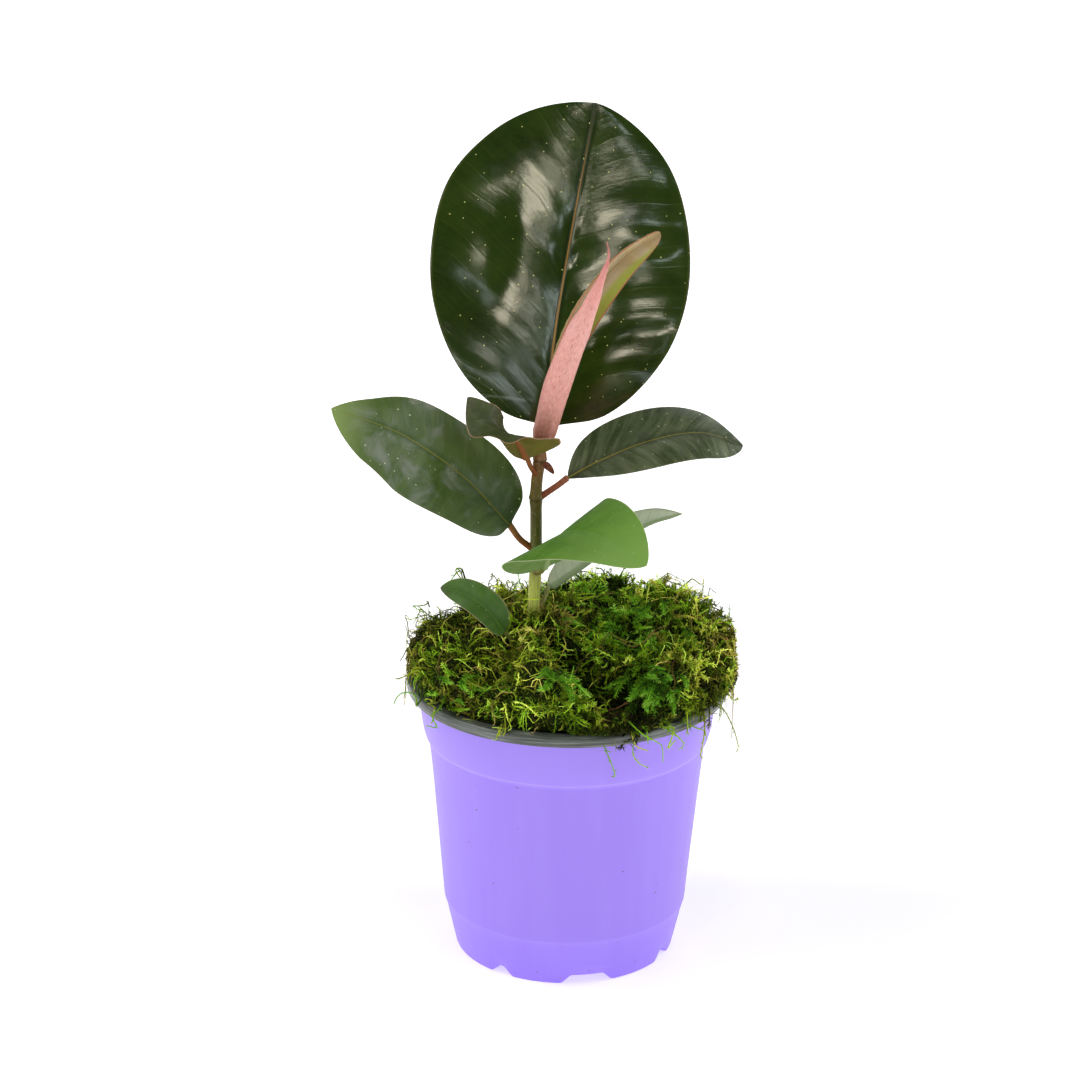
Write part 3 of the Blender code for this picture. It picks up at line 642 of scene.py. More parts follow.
# ---------------------------------------------------------------- stem, sheath, dried flake
TO_VIEWER = (0, -1, 0)
STEM_SECTIONS, STEM_SIDES, SHEATH_SECTIONS, SHEATH_SIDES = 300, 36, 170, 72
STEM_TAPER, SWELL_REACH, GROWN_OVER = 0.25, 2.2, 0.4
SHEATH_WIDEST, ROLL_STEP = 4.8, 0.34
FLAKE_THICK = 0.16


def stem_radius(z):
    """The stem's radius at a height: it swells where leaves grow, less where scars have grown over."""
    swell = sum(bell(z, node, SWELL_REACH) * (1.0 if node in RINGED else GROWN_OVER) for node in STEM_NODES)
    return STEM_RADIUS + STEM_TAPER * (STEM_TOP - z) / (STEM_TOP - SOCKET_FLOOR) + NODE_SWELL * swell


def path_frames(line, reference):
    """Tangent, side and face direction at each point of a line (n, 3)."""
    ahead = unit(np.gradient(line, axis=0))
    face = unit(reference - ahead * (ahead @ reference)[:, None])
    return ahead, np.cross(ahead, face), face


def tube_points(line, radii, angle, reference, offset):
    """Rings of points around a line; offset (n, sides) is added to the radius."""
    _, side, face = path_frames(line, np.asarray(reference, float))
    ring = section(side, face, np.cos(angle), np.sin(angle))
    return line[:, None] + ring * (radii[:, None] + offset)[..., None]


def tube_grid(angle, radius, along):
    """Places at which noise is read round a tube, section by section."""
    return np.stack(np.broadcast_arrays(np.cos(angle) * radius, np.sin(angle) * radius, along[:, None]), -1)


def closed_tube(points):
    """Points of a ring-by-ring tube with an apex at each end, and its quads and end triangles."""
    n, sides = points.shape[:2]
    ends = np.stack([points[0].mean(0), points[-1].mean(0)])
    first, last = np.arange(sides), (n - 1) * sides + np.arange(sides)
    tris = np.vstack([fan(first, n * sides, True), fan(last, n * sides + 1)])
    return np.vstack([points.reshape(-1, 3), ends]), [ring_quads(n, sides), tris]


def make_stem():
    line = curve_points(STEM_LINE, np.linspace(0.0, 1.0, STEM_SECTIONS))
    z, angle = line[:, 2], circle(STEM_SIDES)
    radii = stem_radius(z) - 0.06
    for node in RINGED:
        radii = radii + 0.16 * bell(z, node + 0.5, 0.45) - 0.14 * bell(z, node - 0.5, 0.40)
    offset = 0.06 * lumps(tube_grid(angle, 1.6, 0.16 * z) * 2.2, 3)
    offset = offset + 0.03 * np.sin(5 * angle + 0.1 * z[:, None])
    points, faces = closed_tube(tube_points(line, radii, angle, TO_VIEWER, offset))
    turn = np.arctan2(points[:, 0] - STEM_X, -points[:, 1])
    fields = {"height_mm": points[:, 2], "turn_mm": turn * 2.0}
    mesh_piece("stem_bark", points, faces, stem_material(), ["stem"], fields)


def stem_material():
    """Pale green foot with tan and green bands, olive above, darker at the rings, with small pores."""
    s = Shader("stem_look", Coat_Weight=0.05, Coat_Roughness=0.4)
    height, turn = s.fields("height_mm", "turn_mm")
    skin = s.vector(turn, height)
    base = s.ramp(s.span(height, 96.0, 178.0), (0.0, (190, 196, 84)), (0.32, (206, 214, 96)),
                  (0.50, (118, 122, 34)), (0.78, (98, 92, 18)), (0.92, (112, 92, 26)),
                  (1.0, (140, 92, 46)))
    band = s.noise(s.vector(s.times(turn, 0.55), 0.0), 1.0, 2.0)
    for low, high, colour in ((0.50, 0.62, (196, 160, 110)), (0.46, 0.38, (96, 134, 40))):
        base = s.lay(base, colour, s.span(band, low, high), s.span(height, 146.0, 132.0))
    streak = s.noise(s.stretch(skin, (2.6, 0.16, 1.0)), 1.0, 4.0, 0.65)
    base = s.mix(s.span(streak, 0.45, 0.75, 0.0, 0.55), base, (66, 56, 26))
    base = s.mix(s.span(streak, 0.45, 0.22, 0.0, 0.40), base, (164, 160, 92))
    near, tint = s.cells(s.stretch(skin, (1.0, 0.6, 1.0)), 1.1)
    pore = s.times(s.span(near, 0.20, 0.12), s.span(s.split(tint)[0], 0.62, 0.66))
    base = s.lay(base, (178, 160, 108), pore, 0.7)
    ring = 0.0
    for node in RINGED:
        ring = s.math("MAXIMUM", s.span(s.size_of(s.minus(height, node)), 0.9, 0.2), ring)
    s.set("Base Color", s.lay(base, (78, 56, 30), ring, 0.55))
    s.set("Roughness", s.plus(0.46, s.times(streak, 0.2)))
    s.set("Normal", s.bump(pore, 0.5, 0.00008, s.bump(streak, 0.5, 0.00015)))
    return s.mat


def make_sheath():
    """One sheet rolled round the bud: its free edge stands a little proud of the turn below."""
    t = np.linspace(0.0, 1.0, SHEATH_SECTIONS)
    line, angle, down = curve_points(SHEATH_LINE, t), circle(SHEATH_SIDES), t[:, None]
    radii = eased(SHEATH_RADII, t) * (0.95 - 0.27 * smoothstep(0.50, 0.80, t)) - 0.08
    radii[:8] -= 0.5 * (1 - t[:8] / t[8])
    stout = (radii / SHEATH_WIDEST)[:, None]
    seam = np.pi * (1.18 + 0.55 * t)
    share = ((angle[None, :] - seam[:, None]) % (2 * np.pi)) / (2 * np.pi)
    roll = ROLL_STEP * (share - 0.5) * smoothstep(0.02, 0.12, down) * stout
    ribs = 0.05 * np.sin(22 * angle + 3 * np.sin(5 * down)) * stout
    swell = 0.14 * lumps(tube_grid(angle, 1.5, 9 * t), 7) * stout
    points, faces = closed_tube(tube_points(line, radii, angle, (0, -1, 0.2), roll + ribs + swell))
    reach = np.cumsum(np.r_[0, np.linalg.norm(np.diff(line, axis=0), axis=1)])
    around, up = np.broadcast_arrays(angle * 4.2, reach[:, None])
    fields = {"turn_mm": np.r_[around.ravel(), 0, 0], "along_mm": np.r_[up.ravel(), 0, reach[-1]],
              "seam": np.r_[share.ravel(), 0.5, 0.5]}
    mesh_piece("sheath_wrap", points, faces, sheath_material(), ["shoot_sheath"], fields)


def sheath_material():
    """Pink skin with pale and red flecks drawn out along it, brown at the foot and dark at its edge."""
    s = Shader("sheath_look", Coat_Weight=0.10, Coat_Roughness=0.35, Subsurface_Weight=0.12,
               Subsurface_Scale=0.002)
    turn, along, seam = s.fields("turn_mm", "along_mm", "seam")
    skin = s.vector(turn, along)
    base = s.ramp(s.math("DIVIDE", along, 70.0), (0.0, (136, 74, 36)), (0.08, (190, 116, 86)),
                  (0.24, (240, 166, 154)), (0.62, (250, 184, 174)), (0.86, (240, 158, 150)),
                  (1.0, (196, 104, 98)))
    cloud = s.noise(s.stretch(skin, (0.5, 0.16, 1.0)), 1.0, 3.0)
    base = s.mix(s.span(cloud, 0.35, 0.72, 0.0, 0.45), base, (252, 184, 170))
    vein = s.noise(s.stretch(skin, (3.6, 0.5, 1.0)), 1.0, 5.0, 0.75, 0.25)
    base = s.mix(s.span(vein, 0.48, 0.62, 0.0, 0.65), base, (184, 86, 76))
    pale = s.noise(s.stretch(skin, (3.8, 0.7, 1.0)), 1.0, 3.0, 0.6, 0.3)
    base = s.mix(s.span(pale, 0.54, 0.70, 0.0, 0.60), base, (255, 214, 200))
    s.set("Base Color", s.lay(base, (156, 74, 66), s.span(seam, 0.955, 0.992), 0.6))
    s.set("Roughness", s.plus(0.40, s.times(cloud, 0.2)))
    s.set("Normal", s.bump(pale, 0.35, 0.0001, s.bump(vein, 0.5, 0.00018)))
    return s.mat


def make_flake():
    """The dried rest of an older sheath at the top node: a thin curled ribbon."""
    low, high = ((np.array(corner) - AXIS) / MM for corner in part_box("dried_stipule"))
    root = np.array([-9.3, -2.0, 172.0])
    path = [root, root + (0.9, -1.5, 0.1), (-7.2, high[1] * 0.2 + low[1] * 0.8, 171.2),
            (-5.6, (low[1] + high[1]) / 2, low[2] + 0.6)]
    t = np.linspace(0, 1, 40)
    line = curve_points(path, t)
    _, side, face = path_frames(line, np.array([0.2, -1.0, 0.4]))
    width = (0.2 + 1.0 * np.sin(np.pi * np.clip(t, 0.02, 0.98)) ** 0.8)[:, None]
    across = np.linspace(-1, 1, 9)
    curl = 1.1 * t[:, None] * across ** 2
    upper = line[:, None] + side[:, None] * (across * width)[..., None] \
        + face[:, None] * (curl * width * 0.8)[..., None]
    lower = upper[:, ::-1] - face[:, None] * FLAKE_THICK
    points, faces = closed_tube(np.concatenate([upper, lower], 1))
    mesh_piece("dried_flake", points, faces, flake_material(), ["dried_stipule"])


def flake_material():
    s = Shader("flake_look")
    vein = s.noise(s.stretch(s.place(), (1.0, 1.0, 0.4)), 2200.0, 4.0, 0.7)
    s.set("Base Color", s.ramp(vein, (0.3, (70, 34, 20)), (0.55, (132, 66, 38)),
                               (0.8, (190, 124, 78))))
    s.set("Roughness", s.plus(0.5, s.times(vein, 0.3)))
    s.set("Normal", s.bump(vein, 0.8, 0.0003))
    return s.mat


make_stem()
make_sheath()
make_flake()


# ---------------------------------------------------------------- leaves
BLADE = 0.50                 # thickness of a blade
BASE_ROUND = 0.03            # share of a blade in which its base is rounded off
RIB_RISE, RIB_WIDTH = 1.25, 1.35
ROOT_DEPTH, ROOT_SWELL, PETIOLE_STEPS, PETIOLE_BEND = 0.4, 0.22, 34, 0.45
BLEND_END = 0.018            # share of a blade in which its petiole's roundness fades out
MIDRIB_STEPS = 400
# Pairs are left and right, seen with the tip ahead. A half starts at its fold angle beside the rib and
# turns by its curl towards the margin, both eased along the blade.
LEAF_COMMON = dict(petiole_radius=1.15, rise=(0.62, 0.62), calm=0.0, swell=0.06, bulges=(),
                   waves=1.0, wave=0.3, relief=0.08)
LEAVES = {
    "big_leaf": dict(
        root=(169.5, 78), petiole=(-9.6, 4.4, 174.5),
        midrib=[(-7.9, 6.2, 181.5), (-6.6, 24, 203), (-3.4, 42, 223), (0.2, 57, 242.5),
                (3.6, 69, 259.5), (6.6, 79, 274.6)],
        faces=[(0.0, -1.0, 0.9)], width=(46.3, 42.0), fullness=((0.52, 0.54), (0.42, 0.60)),
        fold=([10, 6, 4], [8, 4, 2]), curl=([0, -12, -16], [0, -14, -18]), waves=2.5, wave=1.0,
        grid=(200, 75), pitch=8.5, relief=0.035, swell=0.36, rise=(1.25, 0.8), calm=0.75,
        bulges=((-11, 0.48, 1.5, 11, 18), (11, 0.36, 0.7, 10, 14))),
    "left_leaf": dict(
        root=(141.0, 190), petiole=(-17.2, -1.3, 144.5),
        midrib=[(-19.6, -2.1, 150.0), (-34.6, -6, 168), (-52.4, -10, 182.5), (-66, -13, 189.5),
                (-77.5, -15, 194)],
        faces=[(0.2, -0.75, 1.0)], width=(21.0, 17.5), fullness=((0.55, 0.8), (0.36, 0.9)),
        fold=([10, 6, 2],) * 2, curl=([0, -14, -20],) * 2, waves=2.0, wave=0.8,
        grid=(120, 45), pitch=5.0, relief=0.07, swell=0.22),
    "right_leaf": dict(
        root=(159.0, 5), petiole=(-4.6, 0.8, 163.0),
        midrib=[(-1.2, 2, 165.7), (9.6, 5, 171), (26, 10, 176.5), (42.7, 14, 178.3),
                (57.3, 18, 172.8)],
        faces=[(-0.1, -0.4, 1.0)], width=(15.5, 14.0), fullness=((0.88, 0.80), (0.82, 0.62)),
        fold=([14, 8, 4], [14, 4, -6]), curl=([0, -10, -14], [0, -10, -10]), waves=1.5, wave=0.25,
        grid=(120, 41), pitch=4.4, relief=0.15, swell=0.17, rise=(1.0, 0.6)),
    "front_leaf": dict(
        root=(133.5, -72), petiole=(-9.6, -5.2, 134.5),
        midrib=[(-8.6, -7.5, 137.5), (-6.5, -14, 146.5), (-2.5, -23, 155.5), (6, -33, 159.5),
                (15.5, -42, 158.5), (24.3, -49, 154)],
        faces=[(-0.3, 0.6, 0.7), (-0.3, -0.2, 0.9), (0.0, -0.5, 0.85)], width=(19.5, 21.5),
        fullness=((0.45, 0.75), (0.45, 0.58)), fold=([10, 4, 0], [-6, 8, 20]),
        curl=([0, -10, -10], [-10, 0, 0]), grid=(120, 49), pitch=4.6),
    "back_leaf": dict(
        root=(119.0, 22), petiole=(-7.6, 1.2, 122.5), petiole_radius=0.9,
        midrib=[(-7, 1, 127.5), (4, 4, 134.5), (15.5, 7.5, 142), (27, 11, 147.5), (37.8, 15, 149.2)],
        faces=[(-0.3, 0.8, 0.6)], width=(8.0, 8.0), fullness=((0.6, 0.9),) * 2,
        fold=([40, 35, 25],) * 2, curl=([0],) * 2, grid=(90, 33), pitch=3.2),
    "low_leaf": dict(
        root=(104.5, 236), petiole=(-17.0, -7.6, 109.0), petiole_radius=0.8,
        midrib=[(-21, -14, 117), (-27, -16.5, 126), (-34.5, -19.5, 132.5), (-42, -22, 135.4)],
        faces=[(0.3, -0.7, 0.9)], width=(7.2, 7.0), fullness=((0.5, 0.75),) * 2,
        fold=([20, 15, 5],) * 2, curl=([0, -10, -10],) * 2, grid=(90, 33), pitch=2.8),
    "folded_leaf": dict(
        root=(167.0, 245), petiole=(-13.2, -4.2, 170.5), petiole_radius=0.9,
        midrib=[(-14.3, -4.4, 174.4), (-17.6, -7, 182.3), (-23, -9, 185.8), (-29, -8, 190.6),
                (-34, -5, 195.3)],
        faces=[(0.2, 0.8, 0.5), (0.3, 0.7, 0.5), (0.5, -0.3, 0.75), (0.3, -0.75, 0.5),
               (0.3, -0.9, 0.3)],
        width=(14.0, 7.5), fullness=((0.27, 0.9), (0.4, 0.75)),
        fold=([20, 10, -15, 20, 20, -10, -20, -20], [0, 0, 10]), curl=([0],) * 2, wave=0.0,
        grid=(100, 37), pitch=3.2),
    "young_leaf": dict(
        root=(174.6, 35), petiole=(-5.8, 4.4, 181.0), petiole_radius=0.9,
        midrib=[(-7.2, 8, 196), (-2, 11, 211), (5, 14.5, 223.5), (15, 17.5, 235.5), (28, 20, 245)],
        faces=[(0.4, -1.0, 0.0)], width=(8.0, 8.0), fullness=((0.4, 0.5),) * 2,
        fold=([20],) * 2, curl=([70, 60, 50],) * 2, wave=0.0, grid=(110, 41), pitch=3.6, relief=0.06),
}


def rib_frame(path, faces, t):
    """Place, side and face direction at t along a path, from the way that its face turns."""
    here = curve_points(path, t)
    ahead = unit(curve_points(path, t + 0.01) - curve_points(path, t - 0.01))
    face = eased([np.array(f) / np.linalg.norm(f) for f in faces], t)
    face = unit(face - ahead * np.sum(face * ahead, -1, keepdims=True))
    return here, np.cross(ahead, face), face


def outline_width(t, base, tip):
    """Half a blade's width as a share of its widest; base and tip say how slowly it fills out there."""
    widest = base / (base + tip)
    return (t / widest) ** base * ((1 - t) / (1 - widest)) ** tip


def round_rings(here, side, face, radius, upper, lower):
    """Round sections whose points run over the face from left to right, and back below."""
    over = np.pi - np.pi * np.arange(upper) / (upper - 1)
    angle = np.r_[over, -np.pi * (np.arange(lower) + 1) / (lower + 1)]
    ring = section(side, face, np.cos(angle), np.sin(angle))
    return here[:, None] + ring * np.asarray(radius)[:, None, None]


def by_half(right, pair, t):
    """Angles eased along the blade, from the list of the half that each point is in."""
    left, other = (np.radians(eased(values, t))[:, None] for values in pair)
    return np.where(right, other, left)


def blade_swell(spec, down, across, size, share, sheet, vein, reach):
    """How far the skin stands up between its veins or sinks beside its rib, and its ridges below."""
    off = np.abs((vein / spec["pitch"] + 0.5) % 1.0 - 0.5) * 2       # 0 on a side vein, 1 between two
    window = smoothstep(0.8, 3.0, np.abs(across)) * smoothstep(1.0, 0.86, size) * smoothstep(0.0, 0.08, share)
    grain = 0.35 * lumps(sheet * 3.0, 5)
    relief = spec["relief"] * window * (0.9 * off ** 0.8 - 0.7 + grain + 0.12 * lumps(sheet * 9.0, 6))
    gutter = (-0.18 * bell(across, 0, 0.75) + 0.10 * bell(across, 0, 0.30)) * (1 - down) ** 0.8
    bands = np.stack([vein * 0.13, across * 0.035, 0 * across], -1)
    still = spec["calm"]                                 # flatter towards the tip and beside the rib's left
    calm = 1 - still * smoothstep(0.62, 0.84, down)
    calm = calm * (1 - 0.8 * still * smoothstep(-26, -14, across) * (across < 0))
    waves = lumps(bands, 7) + 0.6 * lumps(sheet * 0.8, 9) + 0.12 * (1 - 0.7 * still) * lumps(bands * 3.1, 8)
    swell = spec["swell"] * calm * window * waves
    for off_rib, place, height, wide, long in spec["bulges"]:
        away = ((across - off_rib) / wide) ** 4
        swell = swell + height * np.exp(-away - ((down - place) * reach / long) ** 2)
    return relief + swell + gutter, 0.10 * window * (1 - off) ** 4


def blade_rings(spec, t, q, reach):
    """Sections of the blade at t, sampled at q (-1 to 1), and the numbers that its material reads."""
    here, side, face = rib_frame(spec["midrib"], spec["faces"], t)
    right, size, down = q[None, :] > 0, np.abs(q)[None, :], t[:, None]
    sign = np.where(right, 1.0, -1.0)
    left_share, right_share = (outline_width(down, *ends) for ends in spec["fullness"])
    share = np.where(right, right_share, left_share)
    share = share * np.sqrt(1 - (1 - np.clip(down / BASE_ROUND, 0, 1)) ** 2)
    width = share * np.where(right, *spec["width"][::-1])
    fold, curl = by_half(right, spec["fold"], t), by_half(right, spec["curl"], t)
    slope, straight = fold + curl * size, np.abs(curl) < 0.01
    bend = width / np.where(straight, 1.0, curl)
    sideways = np.where(straight, width * size * np.cos(fold), bend * (np.sin(slope) - np.sin(fold)))
    upward = np.where(straight, width * size * np.sin(fold), bend * (np.cos(fold) - np.cos(slope)))
    normal = section(side, face, -sign * np.sin(slope), np.cos(slope))
    across = sign * width * size
    along = reach[:, None] + 0 * across
    sheet = np.stack([across * 0.10, along * 0.07, 0 * across], -1)
    vein = along - np.where(right, *spec["rise"][::-1]) * np.abs(across) + 1.4 * lumps(sheet, 11)
    vein = vein + 0.02 * across ** 2 / (1 + 0.02 * np.abs(across))
    swell, ridge = blade_swell(spec, down, across, size, share, sheet, vein, reach[-1])
    wave = spec["wave"] * size ** 2 * np.sin(2 * np.pi * spec["waves"] * down + 1.5 * sign) * share
    shallow = np.minimum(1.0, share * 3)
    lift = (wave + swell * shallow)[..., None]
    top = here[:, None] + side[:, None] * (sign * sideways)[..., None] + face[:, None] * upward[..., None]
    top = top + normal * lift
    rib = RIB_RISE * (1 - down) ** 0.8 * bell(across, 0, RIB_WIDTH)
    under = top - normal * ((BLADE * (1 - 0.75 * size ** 8) + rib + ridge) * shallow)[..., None]
    return top, under[:, 1:-1][:, ::-1], across, along, vein, size


def petiole_rings(spec, radius, upper, lower):
    """Round sections from inside the stem to the blade, and how far along each is."""
    height, azimuth = spec["root"]
    stem = np.array(STEM_LINE, float)
    centre = np.array([np.interp(height, stem[:, 2], stem[:, 0]), 0.0, height])
    way = np.array([math.cos(math.radians(azimuth)), math.sin(math.radians(azimuth)), 0.0])
    start, end = centre + way * ROOT_DEPTH, np.array(spec["midrib"][0], float)
    bend, chord = np.array(spec["petiole"], float), end - start
    straight = start + chord * np.clip(np.dot(bend - start, chord) / np.dot(chord, chord), 0, 1)
    s = np.linspace(0.0, 1.0, PETIOLE_STEPS)[:-1]
    middle = PETIOLE_BEND * bend + (1 - PETIOLE_BEND) * straight
    here, side, face = rib_frame([start, middle, end], spec["faces"][:1], s)
    away = np.linalg.norm(here - here[0], axis=1)
    thick = radius * (1 + ROOT_SWELL * bell(away, 0, 2.2)) * (1 - 0.05 * np.sin(np.pi * s))
    return s, round_rings(here, side, face, thick, upper, lower)


def make_leaf(node, spec, look):
    """One closed leaf: its petiole's round sections, which blend into the blade's, and its tip."""
    n, upper = spec["grid"]
    lower = upper - 2
    line = np.linspace(-1.0, 1.0, lower)
    q = np.r_[-1.0, 0.99 * np.sign(line) * (0.55 * np.abs(line) + 0.45 * line ** 2), 1.0]
    radius = spec["petiole_radius"] * 0.95
    s, stalk = petiole_rings(spec, radius, upper, lower)
    place = np.arange(0, n) / n
    t = 0.75 * (0.5 - 0.5 * np.cos(np.pi * place)) + 0.25 * place
    t[-1] = 0.5 - 0.5 * math.cos(math.pi * (n - 0.35) / n)
    fine = np.linspace(0, 1, MIDRIB_STEPS)
    steps = np.linalg.norm(np.diff(curve_points(spec["midrib"], fine), axis=0), axis=1)
    length = np.r_[0, np.cumsum(steps)]
    top, under, across, along, vein, size = blade_rings(
        spec, np.clip(t, 1e-5, 1 - 1e-5), q, np.interp(t, fine, length))
    start = round_rings(*rib_frame(spec["midrib"], spec["faces"], t), np.full(n, radius), upper, lower)
    blend = smoothstep(0.0, BLEND_END, t)[:, None, None]
    rings = [stalk, start * (1 - blend) + np.concatenate([top, under], 1) * blend]
    points, faces = closed_tube(np.concatenate(rings, 0))
    points[-1] = spec["midrib"][-1]
    around = upper + lower

    def spread(values, stalk_value, tip_value):
        """A number for every point: given on the upper face, repeated below."""
        values = values + 0 * across
        whole = np.concatenate([values, values[:, 1:-1][:, ::-1]], 1)
        first = np.full((len(s), around), stalk_value, float)
        return np.r_[np.concatenate([first, whole], 0).ravel(), stalk_value, tip_value]

    grown = np.r_[1 - s, -blend[:, 0, 0]]
    upper_side = np.zeros((len(grown), around))
    upper_side[:, :upper] = 1.0
    fields = {
        "across_mm": spread(across, 0.0, 0.0), "along_mm": spread(along, 0.0, length[-1]),
        "vein_mm": spread(vein, 0.0, 0.0), "margin": spread(size, 0.0, 1.0),
        "along": spread(t[:, None], 0.0, 1.0), "stalk": np.r_[np.repeat(grown, around), 1.0, -1.0],
        "face": np.r_[upper_side.ravel(), 0.5, 1.0]}
    mat = LeafSkin(node, look, spec["pitch"]).mat
    mesh_piece(node + "_blade", points, faces, mat, [node], fields)


class LeafSkin(Shader):
    """Waxy skin: mottled greens, side veins, midrib, pale dots, small scars, margin, matt underside; painted
    sheen in bands and patches, painted shade beside the midrib.
    """

    def __init__(self, name, look, pitch):
        super().__init__(name + "_look", Specular_IOR_Level=look["specular"], Specular_Tint=look["sheen"])
        self.look = look
        self.x, y, self.vein, margin, self.along, stalk, face = self.fields(
            "across_mm", "along_mm", "vein_mm", "margin", "along", "stalk", "face")
        self.wide, self.sheet = self.size_of(self.x), self.vector(self.x, y)
        self.cloud = self.noise(self.sheet, look["cloud"], 3.0, 0.55)
        self.grain = self.noise(self.sheet, 0.55, 4.0, 0.65)
        self.major = self.math("PINGPONG", self.vein, pitch / 2)
        self.lines, self.scar = self.vein_lines(pitch), self.scars()
        self.rim = self.span(margin, look["edge_from"], 0.99)
        top_side = self.math("GREATER_THAN", face, 0.5)
        blade = self.mix(top_side, self.underside(), self.marks(self.greens()))
        self.set("Base Color", self.mix(self.span(stalk, -0.55, -0.02), blade, self.petiole(stalk)))
        self.set("Roughness", self.plus(self.times(self.minus(1.0, top_side), 0.22), self.gloss()))
        self.set("Normal", self.relief())

    def vein_lines(self, pitch):
        """Side veins and the fainter ones between them, lost here and there."""
        minor = self.math("PINGPONG", self.plus(self.vein, self.times(self.grain, 0.8)), pitch / 8)
        faint = self.span(minor, 0.16, 0.02, 0.0, 0.25)
        lines = self.math("MAXIMUM", self.span(self.major, 0.30, 0.05), faint)
        lines = self.times(lines, self.span(self.wide, 0.8, 2.5))
        return self.times(lines, self.span(self.cloud, 0.35, 0.60, 0.15, 1.0))

    def scars(self):
        """Thin crooked lines in a few blotches."""
        far, tint = self.cells(self.stretch(self.sheet, (0.7, 1.0, 1.0)), 0.085)
        patch = self.noise(self.sheet, 1.6, 4.0, 0.75, 1.0)
        zone = self.times(self.span(self.plus(far, self.times(patch, 0.45)), 0.46, 0.34),
                          self.math("GREATER_THAN", self.split(tint)[0], self.look["scar_gap"]))
        return self.times(zone, self.span(self.size_of(self.minus(patch, 0.5)), 0.035, 0.010))

    def greens(self):
        look = self.look
        dark, mid, light = look["greens"]
        green = self.ramp(self.cloud, (0.30, dark), (0.50, mid), (0.72, light))
        # painted sheen: lighter bands along the side veins, where light catches the leaf's undulations
        bands = self.vector(self.vein, self.times(self.x, 0.13))
        band = self.noise(bands, 0.34, 3.0, 0.6)
        green = self.mix(self.span(band, 0.38, 0.72, 0.0, look["band"]), green, light)
        green = self.mix(self.span(self.grain, 0.40, 0.75, 0.0, 0.30), green, light)
        # painted sheen: patches of a paler, greyish colour that stand in for reflected light
        if look["painted_sheen"]:
            sheen_mask = self.span(self.noise(self.sheet, 0.07, 3.0, 0.6, 0.6), 0.46, 0.68)
            green = self.lay(green, look["painted_sheen"], sheen_mask, 0.8)
        # painted shade: darker green in the channel beside the midrib
        green = self.lay(green, dark, self.span(self.wide, 2.6, 0.7), look["gutter"])
        green = self.lay(green, look["vein"], self.lines, look["vein_share"])
        if look["tip"]:
            colour, start, end = look["tip"]
            green = self.mix(self.span(self.along, start, end), green, colour)
        if look["flush"]:                                # young tissue turns another colour towards one side
            colour, start, end = look["flush"]
            young = self.span(self.x, start, end)
            green = self.lay(green, colour, young, self.span(self.grain, 0.25, 0.6, 0.7, 1.0))
        return green

    def marks(self, green):
        """Dots, scars, the midrib and the margin on the upper face."""
        look = self.look
        near, tint = self.cells(self.sheet, 0.22)
        chance, large, _ = self.split(tint)
        size = self.times(self.span(large, 0.0, 1.0, 0.035, 0.062), look["dot_size"])
        dots = self.times(self.math("LESS_THAN", near, size),
                          self.math("GREATER_THAN", chance, look["dot_gap"]))
        green = self.lay(green, look["dot"], dots, 0.9)
        green = self.lay(green, look["scar"], self.scar, look["scar_share"])
        rib_width = self.span(self.along, 0.0, 1.0, look["rib_size"], look["rib_size"] * 0.35)
        rib = self.span(self.math("DIVIDE", self.wide, rib_width), 1.0, 0.5)
        rib = self.times(rib, self.span(self.along, 0.98, look["rib_fade"]))
        green = self.lay(green, look["rib"], rib, look["rib_share"])
        return self.lay(green, look["edge"], self.rim, look["edge_share"])

    def underside(self):
        rib = self.look["under_rib"]
        patches = self.span(self.noise(self.sheet, 0.12, 3.0), 0.3, 0.7)
        below = self.mix(patches, *self.look["under"])
        net = self.cells(self.sheet, 0.9, "DISTANCE_TO_EDGE")[0]
        below = self.mix(self.span(net, 0.06, 0.0, 0.0, 0.20), below, rib)
        below = self.lay(below, rib, self.span(self.major, 0.30, 0.05), 0.35)
        below = self.mix(self.span(self.wide, 1.3, 0.5), below, rib)
        return self.lay(below, self.look["edge"], self.rim, self.look["edge_share"])

    def petiole(self, stalk):
        streak = self.noise(self.stretch(self.place(), (1.0, 1.0, 0.35)), 1400.0, 3.0, 0.6)
        skin = self.mix(self.span(stalk, 0.95, 0.0), *self.look["petiole"])
        return self.mix(self.span(streak, 0.4, 0.8, 0.0, 0.6), skin, (96, 62, 30))

    def gloss(self):
        shine = self.minus(self.noise(self.sheet, 0.30, 3.0, 0.6), 0.5)
        rough = self.plus(self.look["rough"], self.times(shine, self.look["rough_vary"]))
        rough = self.plus(rough, self.times(self.scar, 0.25))
        return self.plus(rough, self.span(self.wide, 1.0, 0.3, 0.0, 0.20))

    def relief(self):
        """Sunken veins, fine streaks along them, creases, scars and pores."""
        look = self.look
        streak = self.noise(self.vector(self.vein, self.times(self.x, 0.16)), 1.3, look["detail"], 0.5)
        crease = self.noise(self.sheet, 0.55, look["detail"], 0.5)
        skin = self.bump(self.times(self.lines, -1.0), look["line_bump"], 0.00025)
        for height, strength in ((streak, "streaks"), (crease, "wrinkle"), (self.scar, "blister")):
            skin = self.bump(height, look[strength], 0.0003, skin)
        return self.bump(self.cells(self.sheet, 2.2, "SMOOTH_F1")[0], look["pores"], 0.00004, skin)


